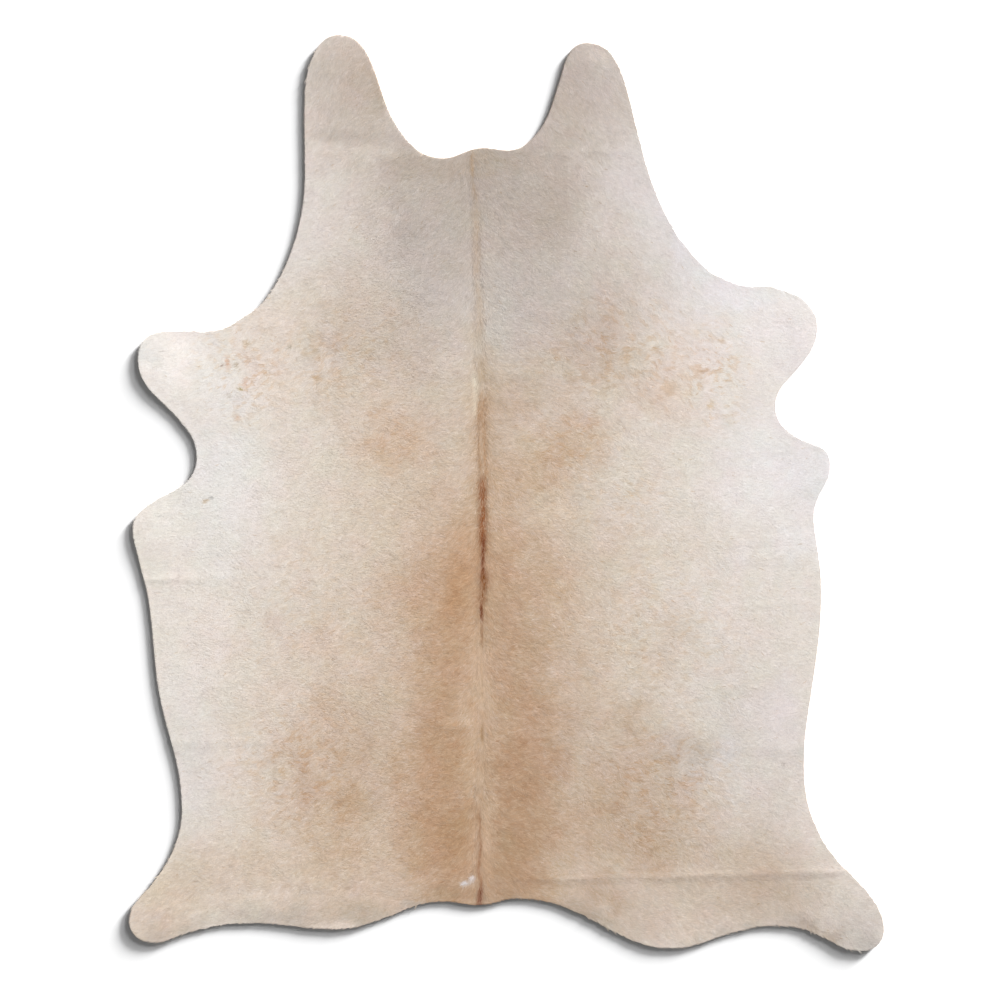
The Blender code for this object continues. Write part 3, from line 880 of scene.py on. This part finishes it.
def makeHairColour():
    tree, entry, leave = newGroup(
        "hairColour",
        [
            ("Tint", "NodeSocketColor", (0.7, 0.6, 0.5, 1.0)),
            ("Tone", "NodeSocketFloat", 0.0),
            ("Tip", "NodeSocketFloat", 0.0),
            ("Contrast", "NodeSocketFloat", 0.2),
        ],
        [("Color", "NodeSocketColor"), ("Roughness", "NodeSocketFloat")],
    )
    given = entry.outputs
    change = addMath(tree, "MULTIPLY", (-600, -150), given["Tone"], given["Contrast"])
    tipped = addMath(tree, "MULTIPLY", (-600, -320), given["Tip"], hairShade["tips"])
    value = addMath(tree, "ADD", (-420, -200), change, tipped)
    value = addMath(tree, "ADD", (-260, -200), value, hairShade["middle"])
    colour = addVector(tree, "SCALE", (0, 100), {0: given["Tint"], "Scale": value})
    rough = addMath(tree, "MULTIPLY", (0, -300), given["Tone"], hairShade["roughnessChange"])
    rough = addMath(tree, "ADD", (200, -300), rough, hairShade["roughness"])
    tree.links.new(colour, leave.inputs["Color"])
    tree.links.new(rough, leave.inputs["Roughness"])
    return tree


# The nap of raw leather: fibres, a mottled tan, and veins in some places.
suede = {
    "blotchScale": 7.0,
    "blotchShare": (1.5, -0.35),  # how much more, and from where
    "napScale": 420.0,
    "napShare": (0.5, -0.25),
    "veinScale": 9.0,
    "veinBend": 0.35,
    "veinBendScale": 6.0,
    "veinWidth": 0.035,
    "veinDepth": 0.22,
    "veinPlaceScale": 3.5,
    "veinPlaceShare": (5.0, -2.4),
    "sunk": -0.8,
    "roughness": 0.84,
    "roughnessChange": 0.1,
}


def makeSuede():
    tree, entry, leave = newGroup(
        "suedeNap",
        [
            ("Vector", "NodeSocketVector", (0.0, 0.0, 0.0)),
            ("Pale", "NodeSocketColor", (0.62, 0.53, 0.43, 1.0)),
            ("Deep", "NodeSocketColor", (0.42, 0.33, 0.25, 1.0)),
            ("Scale", "NodeSocketFloat", 1.0),
        ],
        [("Color", "NodeSocketColor"), ("Height", "NodeSocketFloat"), ("Roughness", "NodeSocketFloat")],
    )
    given = entry.outputs
    place = addVector(tree, "SCALE", (-700, 0), {0: given["Vector"], "Scale": given["Scale"]})
    blotches = addNoise(tree, (-500, 200), place, suede["blotchScale"], 4.0, 0.55)
    nap = addNoise(tree, (-500, -50), place, suede["napScale"], 3.0, 0.6)

    bent = addNoise(tree, (-900, -300), place, suede["veinBendScale"], 3.0, output="Color")
    bend = (suede["veinBend"],) * 3
    bent = addVector(tree, "MULTIPLY_ADD", (-700, -300), {0: bent, 1: bend, 2: place})
    veins = addNode(
        tree, "ShaderNodeTexVoronoi", (-500, -300), {"Scale": suede["veinScale"], "Vector": bent},
        feature="DISTANCE_TO_EDGE")
    line = addNode(
        tree, "ShaderNodeMapRange", (-300, -300),
        {
            "From Min": 0.0, "From Max": suede["veinWidth"], "To Min": suede["veinDepth"], "To Max": 0.0,
            "Value": veins.outputs["Distance"],
        },
        interpolation_type="SMOOTHSTEP")
    here = addNoise(tree, (-500, -520), place, suede["veinPlaceScale"], 2.0)
    here = addMath(tree, "MULTIPLY_ADD", (-300, -520), here, *suede["veinPlaceShare"], clamp=True)
    vein = addMath(tree, "MULTIPLY", (-150, -300), line.outputs["Result"], here)

    share = addMath(tree, "MULTIPLY_ADD", (-300, 200), blotches, *suede["blotchShare"])
    share = addMath(tree, "ADD", (-150, 100), share, vein)
    napShare = addMath(tree, "MULTIPLY_ADD", (-300, 0), nap, *suede["napShare"])
    share = addMath(tree, "ADD", (0, 50), share, napShare)
    mixed = addNode(
        tree, "ShaderNodeMix", (200, 100), {"Factor": share, "A": given["Pale"], "B": given["Deep"]},
        data_type="RGBA", clamp_factor=True)
    tree.links.new(mixed.outputs["Result"], leave.inputs["Color"])

    sunk = addMath(tree, "MULTIPLY", (0, -200), vein, suede["sunk"])
    tree.links.new(addMath(tree, "ADD", (200, -150), nap, sunk), leave.inputs["Height"])
    rough = addMath(tree, "MULTIPLY_ADD", (200, -320), nap, suede["roughnessChange"], suede["roughness"])
    tree.links.new(rough, leave.inputs["Roughness"])
    return tree


hairColour = makeHairColour()
suedeNap = makeSuede()


def newMaterial(name):
    material = bpy.data.materials.new(name)
    material.use_nodes = True
    tree = material.node_tree
    shader = tree.nodes["Principled BSDF"]
    shader.location = (500, 0)
    tree.nodes["Material Output"].location = (800, 0)
    return material, tree, shader


# The colour and roughness that a group gives, and a bump, on the material's own shader.
def finishWith(tree, shader, group, height, strength, distance):
    values = {"Strength": strength, "Distance": distance, "Height": height}
    bump = addNode(tree, "ShaderNodeBump", (280, -300), values)
    tree.links.new(group.outputs["Color"], shader.inputs["Base Color"])
    tree.links.new(group.outputs["Roughness"], shader.inputs["Roughness"])
    tree.links.new(bump.outputs["Normal"], shader.inputs["Normal"])


def readValue(tree, name, place, output):
    return addNode(tree, "ShaderNodeAttribute", place, attribute_name=name).outputs[output]


hairSheen = {"roughness": 0.45, "tint": (1.0, 0.97, 0.93, 1.0)}


def finishHair(shader, look):
    shader.inputs["Specular IOR Level"].default_value = look["specular"]
    shader.inputs["Sheen Weight"].default_value = look["sheen"]
    shader.inputs["Sheen Roughness"].default_value = hairSheen["roughness"]
    shader.inputs["Sheen Tint"].default_value = hairSheen["tint"]


# The dense hair close to the skin, seen between the locks.
matLook = {
    "specular": 0.25,
    "sheen": 0.10,
    "contrast": 0.10,
    "grainScale": 230.0,
    "clumpScale": 70.0,
    "toneSpread": 2.0,
    "toneShift": -2.1,
    "bump": (0.5, 0.4 * mm),  # strength and depth
}


def makeMatMaterial(look):
    material, tree, shader = newMaterial("denseHair")
    place = addNode(tree, "ShaderNodeTexCoord", (-900, 0)).outputs["Object"]
    grain = addNoise(tree, (-600, 0), place, look["grainScale"], 3.0, 0.65)
    clump = addNoise(tree, (-600, -250), place, look["clumpScale"], 2.0)
    tone = addMath(tree, "ADD", (-350, -100), grain, clump)
    tone = addMath(tree, "MULTIPLY_ADD", (-200, -100), tone, look["toneSpread"], look["toneShift"])
    tint = readValue(tree, "coatTintAndShade", (-600, 300), "Color")
    values = {"Tint": tint, "Tone": tone, "Contrast": look["contrast"]}
    hair = addNode(tree, "ShaderNodeGroup", (100, 0), values, node_tree=hairColour)
    finishWith(tree, shader, hair, grain, *look["bump"])
    finishHair(shader, look)
    return material


# The locks of hair that lie over the mat.
lockLook = {
    "specular": 0.30,
    "sheen": 0.12,
    "contrast": 0.10,
    "strandSpread": 8.0,
    "strandShift": -4.0,
    "bump": (0.35, 0.15 * mm),
}


def makeLockMaterial(look):
    material, tree, shader = newMaterial("lyingHair")
    place = readValue(tree, "lockPlace", (-800, -100), "Vector")
    strands = addNoise(tree, (-600, -100), place, 1.0, 2.0, 0.6)
    tone = addMath(tree, "MULTIPLY_ADD", (-350, -100), strands, look["strandSpread"], look["strandShift"])
    tone = addMath(tree, "ADD", (-200, 0), readValue(tree, "lockTone", (-600, 100), "Fac"), tone)
    tint = readValue(tree, "coatTintAndShade", (-600, 300), "Color")
    tip = readValue(tree, "lockTip", (-600, -300), "Fac")
    values = {"Tint": tint, "Tone": tone, "Tip": tip, "Contrast": look["contrast"]}
    hair = addNode(tree, "ShaderNodeGroup", (100, 0), values, node_tree=hairColour)
    finishWith(tree, shader, hair, strands, *look["bump"])
    finishHair(shader, look)
    return material


# The floor side of the leather, and its cut edge.
leatherLooks = {
    "fleshSide": {
        "pale": (0.60, 0.52, 0.43, 1.0), "deep": (0.44, 0.35, 0.27, 1.0), "scale": 1.0, "depth": 0.3 * mm},
    "cutEdge": {
        "pale": (0.66, 0.58, 0.48, 1.0), "deep": (0.50, 0.40, 0.31, 1.0), "scale": 2.5, "depth": 0.2 * mm},
}
leatherShine = {"bump": 0.4, "specular": 0.2, "sheen": 0.15}


def makeLeatherMaterial(name, look):
    material, tree, shader = newMaterial(name)
    place = addNode(tree, "ShaderNodeTexCoord", (-400, 0)).outputs["Object"]
    values = {"Pale": look["pale"], "Deep": look["deep"], "Scale": look["scale"], "Vector": place}
    nap = addNode(tree, "ShaderNodeGroup", (-100, 0), values, node_tree=suedeNap)
    finishWith(tree, shader, nap, nap.outputs["Height"], leatherShine["bump"], look["depth"])
    shader.inputs["Specular IOR Level"].default_value = leatherShine["specular"]
    shader.inputs["Sheen Weight"].default_value = leatherShine["sheen"]
    return material


matMaterial = makeMatMaterial(matLook)
lockMaterial = makeLockMaterial(lockLook)
leatherMaterials = [makeLeatherMaterial(name, look) for name, look in leatherLooks.items()]
print("materials made")


# A piece's mesh from arrays, with its own map for the finish and values at its points.

def addMesh(name, places, faces, materials, flat, slots=None, values=None):
    mesh = bpy.data.meshes.new(name)
    mesh.vertices.add(len(places))
    mesh.vertices.foreach_set("co", np.asarray(places, np.float32).ravel())
    faces = np.asarray(faces, np.int32)
    mesh.loops.add(faces.size)
    mesh.loops.foreach_set("vertex_index", faces.ravel())
    mesh.polygons.add(len(faces))
    mesh.polygons.foreach_set("loop_start", np.arange(0, faces.size, 3, dtype=np.int32))
    mesh.update(calc_edges=True)
    for material in materials:
        mesh.materials.append(material)
    if slots is not None:
        mesh.polygons.foreach_set("material_index", np.asarray(slots, np.int32))
    for label, data in (values or {}).items():
        kind, key = ("FLOAT", "value") if data.ndim == 1 else ("FLOAT_VECTOR", "vector")
        attribute = mesh.attributes.new(label, kind, "POINT")
        attribute.data.foreach_set(key, data.astype(np.float32).ravel())
    layer = mesh.uv_layers.new(name="OFBake")
    layer.data.foreach_set("uv", flat[faces.ravel()].astype(np.float32).ravel())
    mesh.validate()
    piece = bpy.data.objects.new(name, mesh)
    bpy.context.scene.collection.objects.link(piece)
    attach(piece, rug["body"])
    return piece


# Rows of spots inside the edge, every second row shifted by half a step, with a little disorder.
def scatter(spacing, disorder, margin, seed):
    randoms = np.random.default_rng(seed)
    rowStep = spacing * math.sqrt(3) / 2
    rows = np.arange(cadLow.y, cadHigh.y, rowStep)
    columns = np.arange(cadLow.x, cadHigh.x, spacing)
    x = columns[None, :] + 0.5 * spacing * (np.arange(len(rows)) % 2)[:, None]
    y = np.repeat(rows[:, None], len(columns), 1)
    spots = np.stack([x.ravel(), y.ravel()], 1)
    spots += randoms.uniform(-disorder, disorder, spots.shape) * spacing
    return spots[depthAt(spots) > margin]


# Triangles over all that a ring encloses. The ring's points come first, then the spots inside.
fillPlan = {
    "disorder": 0.12,  # of the spacing
    "margin": 0.6,  # of the spacing, inside the ring
    "creaseStep": 2,
    "creaseMargin": 5 * mm,
    "merge": 1e-7,
}


def fillRing(ring, spacing, seed):
    inset = (edgeRing[0] - ring[0]) @ edgeNormals[0]
    spread = scatter(spacing, fillPlan["disorder"], inset + fillPlan["margin"] * spacing, seed)
    crests = creaseRows(fillPlan["creaseStep"] * spacing, inset + fillPlan["creaseMargin"])
    places = [Vector(place) for place in np.vstack([ring, spread, crests])]
    result = delaunay_2d_cdt(places, [], [list(range(len(ring)))], 1, fillPlan["merge"])
    coords, sources = result[0], result[3]
    order = np.array([source[0] for source in sources])
    spots = np.empty((len(coords), 2))
    spots[order] = [place[:] for place in coords]
    return spots, order[np.array(result[2])]


# A closed layer with a soft rim. Each ring of the rim has its inset from the edge and its height, in mm.
# The faces' slots are 0 on the floor side, 1 on the rim and 2 on top.
def makeLayer(plan, below, above):
    count = len(edgeRing)
    here = np.arange(count)
    ahead = (here + 1) % count
    rings = [(insetEdge(edgeRing, inset * mm), height * mm) for inset, height in plan["rimMm"]]
    bottomRing, bottomHeight = rings[0]
    bottomSpots, bottomFaces = fillRing(bottomRing, plan["spacingBelow"], plan["seed"])
    topSpots, topFaces = fillRing(rings[-1][0], plan["spacingAbove"], plan["seed"] + 1)
    bottomSpots[:count] = bottomRing
    rings[-1] = (topSpots, rings[-1][1])
    blocks = [np.column_stack([bottomSpots, below(bottomSpots) + bottomHeight])]
    faces, slots = [bottomFaces[:, ::-1]], [np.zeros(len(bottomFaces), int)]
    lower, upper = 0, len(bottomSpots)
    for index, (spots, height) in enumerate(rings[1:], 1):
        share = index / (len(rings) - 1)
        base = (1 - share) * below(spots) + share * above(spots)
        blocks.append(np.column_stack([spots, base + height]))
        faces.append(np.stack([lower + here, lower + ahead, upper + ahead], 1))
        faces.append(np.stack([lower + here, upper + ahead, upper + here], 1))
        slots.append(np.ones(2 * count, int))
        lower, upper = upper, upper + len(spots)
    faces.append(lower + topFaces)
    slots.append(np.full(len(topFaces), 2))
    places = np.vstack(blocks)
    return places, np.vstack(faces), np.concatenate(slots), flatMap(places, len(bottomSpots))


# The floor side lies beside the hair side on the map.
mapPlan = {"size": (0.49, 0.98), "margin": (0.005, 0.01), "floorSideAt": 0.5}


def flatMap(places, undersideCount):
    low, high = places[:, :2].min(0), places[:, :2].max(0)
    share = (places[:, :2] - low) / (high - low)
    under = np.arange(len(places)) < undersideCount
    flat = share * mapPlan["size"] + mapPlan["margin"]
    flat[under, 0] += mapPlan["floorSideAt"]
    return flat


# The leather: floor side, cut edge and a hidden top.
leatherPlan = {
    "rimMm": [(1.5, 0.0), (0.9, 0.25), (0.7, 1.1), (0.9, 1.9), (1.8, 2.2)],
    "spacingBelow": 15 * mm,
    "spacingAbove": 30 * mm,
    "seed": 200,
}


def makeLeather(plan):
    places, faces, slots, flat = makeLayer(plan, floorSide, floorSide)
    piece = addMesh("leather", places, faces, leatherMaterials, flat, slots=(slots == 1).astype(int))
    piece.data.shade_smooth()
    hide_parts("hide")
    return piece


# The mat of dense hair that covers the leather.
matPlan = {
    "rimMm": [(2.5, 2.0), (0.8, 2.1), (0.3, 2.9), (0.5, 3.9), (1.2, 4.3)],
    "spacingBelow": 30 * mm,
    "spacingAbove": 8.2 * mm,
    "seed": 210,
}


def makeHairMat(plan):
    places, faces, slots, flat = makeLayer(plan, floorSide, hairSide)
    spots, randoms = places[:, :2], np.random.default_rng(plan["seed"] + 1)
    tint = mixedTint(spots, hairWay(spots), coatTintAndShade(spots), randoms)
    values = {"coatTintAndShade": markTint(spots, tint, randoms)}
    piece = addMesh("hairMat", places, faces, [matMaterial], flat, values=values)
    piece.data.shade_smooth()
    return piece


leather = makeLeather(leatherPlan)
print(f"leather made: {len(leather.data.polygons)} faces")
hairMat = makeHairMat(matPlan)
print(f"hair mat made: {len(hairMat.data.polygons)} faces")


# Locks: each is a slim leaf with a crest along it, rooted in the mat and lying towards its tip.

lockShape = {
    "waist": 0.40,  # where a lock is widest, from its root
    "rootDrop": 0.055 * mm,
    "flankDrop": 0.05 * mm,
    "bend": 0.12,
    "overhang": 0.2 * mm,  # past the trimmed edge
    "edgeStep": 3 * mm,
    "leastOutwards": 0.45,  # of a lock's length, when it is moved back
    "moves": 2,
    # each for the root, the tip, the left and the right
    "strands": [(0.0, 0.0), (2.5, 0.0), (1.0, 5.0), (1.0, -5.0)],
    "cell": [(0.10, 0.5), (0.90, 0.5), (0.42, 0.90), (0.42, 0.10)],
    "tips": [0.0, 1.0, 0.4, 0.4],
    "strandSets": (0, 50),
}
lockTone = {"streak": (3, 4.5 * mm, 55), "own": 0.4, "most": 1.6, "dark": 0.50, "pale": 0.25, "onPale": 0.45}


def lockTones(spots, way, tint, randoms):
    streak = streakNoise(spots, way, *lockTone["streak"])
    own = randoms.normal(0.0, lockTone["own"], len(spots))
    depth = 1.0 - smoothStep((tint.mean(1) - lockTone["dark"]) / lockTone["pale"])
    tones = np.clip(streak + own, -lockTone["most"], lockTone["most"])
    return tones * (lockTone["onPale"] + (1 - lockTone["onPale"]) * depth)


# Each lock has its own small cell of the map.
def cellMap(count):
    across = math.ceil(math.sqrt(count))
    index = np.arange(count)
    corner = np.stack([index % across, index // across], 1) / across
    shape = np.array(lockShape["cell"]) / across
    return (corner[:, None, :] + shape[None, :, :]).reshape(-1, 2)


# Locks whose tips stand past the trimmed edge are moved back along themselves.
def movedBack(roots, ahead, length, randoms):
    step = lockShape["edgeStep"]
    for _ in range(lockShape["moves"]):
        tips = roots + ahead * length[:, None]
        depths = depthAt(tips)
        outwards = (depthAt(tips - step * ahead) - depths) / step
        outwards = np.clip(outwards, lockShape["leastOutwards"], 1.0)
        uneven = lockShape["overhang"] * randoms.uniform(-1.0, 1.0, len(roots))
        over = np.maximum(-depths - uneven, 0.0)
        roots = roots - ahead * (over / outwards)[:, None]
    return roots


def lockPlaces(roots, ahead, length, width, rise, bend):
    aside = np.stack([-ahead[:, 1], ahead[:, 0]], 1)
    waist = roots + ahead * (lockShape["waist"] * length)[:, None]
    tips = roots + (ahead + bend[:, None] * aside) * length[:, None]
    half = aside * width[:, None] / 2
    spots = np.stack([roots, tips, waist + half, waist - half], 1)
    heights = hairSide(spots.reshape(-1, 2)).reshape(-1, 4) + rug["hairTop"]
    heights[:, 0] += rise - lockShape["rootDrop"]
    heights[:, 1] += rise
    heights[:, 2:] += (rise - lockShape["flankDrop"])[:, None]
    return np.concatenate([spots, heights[:, :, None]], 2).reshape(-1, 3)


def makeLocks(name, plan, roots, way):
    randoms = np.random.default_rng(plan["seed"])
    count = len(roots)
    way = way + randoms.normal(0.0, math.radians(plan["turnDeg"]), count)
    length, width, rise = (
        randoms.uniform(*plan[size], count) * mm for size in ("lengthMm", "widthMm", "riseMm"))
    ahead = aheadOf(way)
    roots = movedBack(roots, ahead, length, randoms)
    bend = randoms.normal(0.0, lockShape["bend"], count)
    places = lockPlaces(roots, ahead, length, width, rise, bend)
    leaf = np.array([(0, 1, 2), (0, 3, 1)])
    faces = (4 * np.arange(count)[:, None, None] + leaf[None]).reshape(-1, 3)
    middles = roots + lockShape["waist"] * ahead * length[:, None]
    ground = coatTintAndShade(middles)
    tint = markTint(middles, mixedTint(middles, way, ground, randoms), randoms)
    values = {
        "coatTintAndShade": np.repeat(tint, 4, 0),
        "lockTone": np.repeat(lockTones(roots, way, ground, randoms), 4),
        "lockTip": np.tile(lockShape["tips"], count),
    }
    strand = np.tile(np.array(lockShape["strands"]), (count, 1))
    own = randoms.uniform(*lockShape["strandSets"], count)
    values["lockPlace"] = np.column_stack([strand, np.repeat(own, 4)])
    piece = addMesh(name, places, faces, [lockMaterial], cellMap(count), values=values)
    piece.data.shade_flat()
    print(f"{name} made: {count} locks, {len(faces)} faces")
    return piece


lockColumns = ("spacingMm", "lengthMm", "widthMm", "riseMm", "turnDeg", "seed")
lockPlans = {
    "coatUnder": (8.2, (18, 28), (3.4, 4.8), (0.02, 0.05), 9, 301),
    "coatLower": (8.2, (16, 25), (3.0, 4.2), (0.04, 0.08), 12, 302),
    "coatMiddle": (5.9, (13, 21), (2.4, 3.4), (0.07, 0.10), 15, 303),
    "coatUpper": (5.9, (11, 18), (2.0, 3.0), (0.09, 0.13), 18, 304),
    "coatOver": (5.9, (9, 16), (1.8, 2.6), (0.12, 0.17), 22, 305),
}
coatPlan = {"disorder": 0.45, "margin": 1.0 * mm}


def makeCoat(name, plan):
    roots = scatter(plan["spacingMm"] * mm, coatPlan["disorder"], coatPlan["margin"], plan["seed"] + 10)
    return makeLocks(name, plan, roots, hairWay(roots))


coat = [makeCoat(name, plan) for name, plan in zip(lockPlans, rowsOf(lockColumns, lockPlans))]


# The hair at the trimmed edge. Where it lies inwards its roots stand near the cut.
rimPlan = {
    "step": 1.1 * mm,
    "deepest": (0.4 * mm, 9.0 * mm),
    "inwardDeepest": 3.5 * mm,
    "lengthMm": (10, 17),
    "widthMm": (1.8, 3.0),
    "riseMm": (0.06, 0.20),
    "turnDeg": 9,
    "seed": 321,
}


def makeRimHair(plan):
    randoms = np.random.default_rng(plan["seed"] + 1)
    count = round(len(edgeRing) * edgePlan["step"] / plan["step"])
    at = randoms.uniform(0, len(edgeRing), count)
    low = at.astype(int)
    share = (at - low)[:, None]
    ahead = (low + 1) % len(edgeRing)
    spots = edgeRing[low] * (1 - share) + edgeRing[ahead] * share
    outwards = edgeNormals[low]
    way = hairWay(spots)
    inward = (aheadOf(way) * outwards).sum(1) < 0.0
    deepest = np.where(inward, plan["inwardDeepest"], plan["deepest"][1])
    roots = spots - outwards * randoms.uniform(plan["deepest"][0], deepest)[:, None]
    return makeLocks("rimHair", plan, roots, way)


# Fine hair that runs tailwards along the backbone.
backbonePlan = {
    "step": 0.12 * mm,
    "reachMm": 8.5,
    "fanDeg": 20.0,
    "fromMm": 118.0,
    "toMm": 1908.0,
    "lengthMm": (8, 17),
    "widthMm": (1.1, 1.9),
    "riseMm": (0.12, 0.26),
    "turnDeg": 6,
    "seed": 331,
}


def makeBackboneHair(plan):
    randoms = np.random.default_rng(plan["seed"] + 1)
    count = round((plan["toMm"] - plan["fromMm"]) * mm / plan["step"])
    along = randoms.uniform(plan["fromMm"], plan["toMm"], count)
    offset = randoms.normal(0.0, 0.5 * plan["reachMm"], count)
    roots = spotsOf(np.stack([backboneAcross(along) + offset, along], 1))
    way = -0.5 * math.pi + np.radians(plan["fanDeg"] * offset / plan["reachMm"])
    return makeLocks("backboneHair", plan, roots, way)


# Short hair that stands closely on the packing creases and shows their crests.
creaseHairPlan = {
    "step": 0.30 * mm,
    "along": (0.02, 0.98),  # of the crease
    "asideMm": (-12.0, 10.0),
    "margin": 2 * mm,
    "lengthMm": (6, 9),
    "widthMm": (1.6, 2.4),
    "riseMm": (0.14, 0.19),
    "turnDeg": 12,
    "seed": 341,
}


def makeCreaseHair(plan):
    randoms = np.random.default_rng(plan["seed"] + 1)
    blocks = []
    for crease in rowsOf(creaseColumns, creases):
        length = crease["toMm"] - crease["fromMm"]
        share = randoms.uniform(*plan["along"], round(length * mm / plan["step"]))
        offset = randoms.uniform(*plan["asideMm"], len(share))
        along = crease["alongMm"] + share * crease["slopeMm"] + offset
        blocks.append(np.stack([crease["fromMm"] + share * length, along], 1))
    roots = spotsOf(np.vstack(blocks))
    roots = roots[depthAt(roots) > plan["margin"]]
    return makeLocks("creaseHair", plan, roots, hairWay(roots))


coat.append(makeRimHair(rimPlan))
coat.append(makeCreaseHair(creaseHairPlan))
coat.append(makeBackboneHair(backbonePlan))


# The stage: a pale floor, soft light from above, and a low light with a softer one over it from the neck
# end's right.

stagePlan = {
    "floorSize": 60.0,
    "floorHeight": -0.4 * mm,
    "floorTone": 0.965,
    "floorRoughness": 0.9,
    "floorSpecular": 0.1,
    "skyLight": 0.15,
    "lens": 100.0,
    "view": 1000 * pixel,  # wide and high, at the floor
    "aside": -6.5 * pixel,  # both ways, from the rug's middle
    "clipEnd": 100.0,
}
lampPlans = {
    "keyLight": {"power": 15.0, "heightDeg": 8.2, "turnDeg": 45.0, "softDeg": 10.5},
    "fillLight": {"power": 3.8, "heightDeg": 14.5, "turnDeg": 45.0, "softDeg": 31.0},
}


def makeFloor(plan):
    bpy.ops.mesh.primitive_plane_add(size=plan["floorSize"], location=(0, 0, plan["floorHeight"]))
    floor = bpy.context.object
    floor.name = "floor"
    material, _, shader = newMaterial("paleFloor")
    shader.inputs["Base Color"].default_value = (plan["floorTone"],) * 3 + (1.0,)
    shader.inputs["Roughness"].default_value = plan["floorRoughness"]
    shader.inputs["Specular IOR Level"].default_value = plan["floorSpecular"]
    floor.data.materials.append(material)


def makeSky(plan):
    world = bpy.data.worlds.new("studio")
    world.use_nodes = True
    sky = world.node_tree.nodes["Background"]
    sky.inputs["Color"].default_value = (1.0, 1.0, 1.0, 1.0)
    sky.inputs["Strength"].default_value = plan["skyLight"]
    bpy.context.scene.world = world


def makeLamp(name, plan):
    lamp = bpy.data.objects.new(name, bpy.data.lights.new(name, "SUN"))
    lamp.data.energy = plan["power"]
    lamp.data.angle = math.radians(plan["softDeg"])
    height, turn = math.radians(plan["heightDeg"]), math.radians(plan["turnDeg"])
    source = Vector((math.cos(height) * math.sin(turn), math.cos(height) * math.cos(turn), math.sin(height)))
    lamp.rotation_mode = "QUATERNION"
    lamp.rotation_quaternion = source.to_track_quat("Z", "Y")
    bpy.context.scene.collection.objects.link(lamp)


def makeCamera(plan):
    camera = bpy.data.objects.new("camera", bpy.data.cameras.new("camera"))
    camera.data.lens = plan["lens"]
    distance = 0.5 * plan["view"] / (0.5 * camera.data.sensor_width / plan["lens"])
    camera.location = (plan["aside"], plan["aside"], distance)
    camera.data.clip_end = plan["clipEnd"]
    bpy.context.scene.collection.objects.link(camera)
    bpy.context.scene.camera = camera
    bpy.context.scene.view_settings.view_transform = "Standard"


makeFloor(stagePlan)
makeSky(stagePlan)
for name, plan in lampPlans.items():
    makeLamp(name, plan)
makeCamera(stagePlan)
print("stage made")
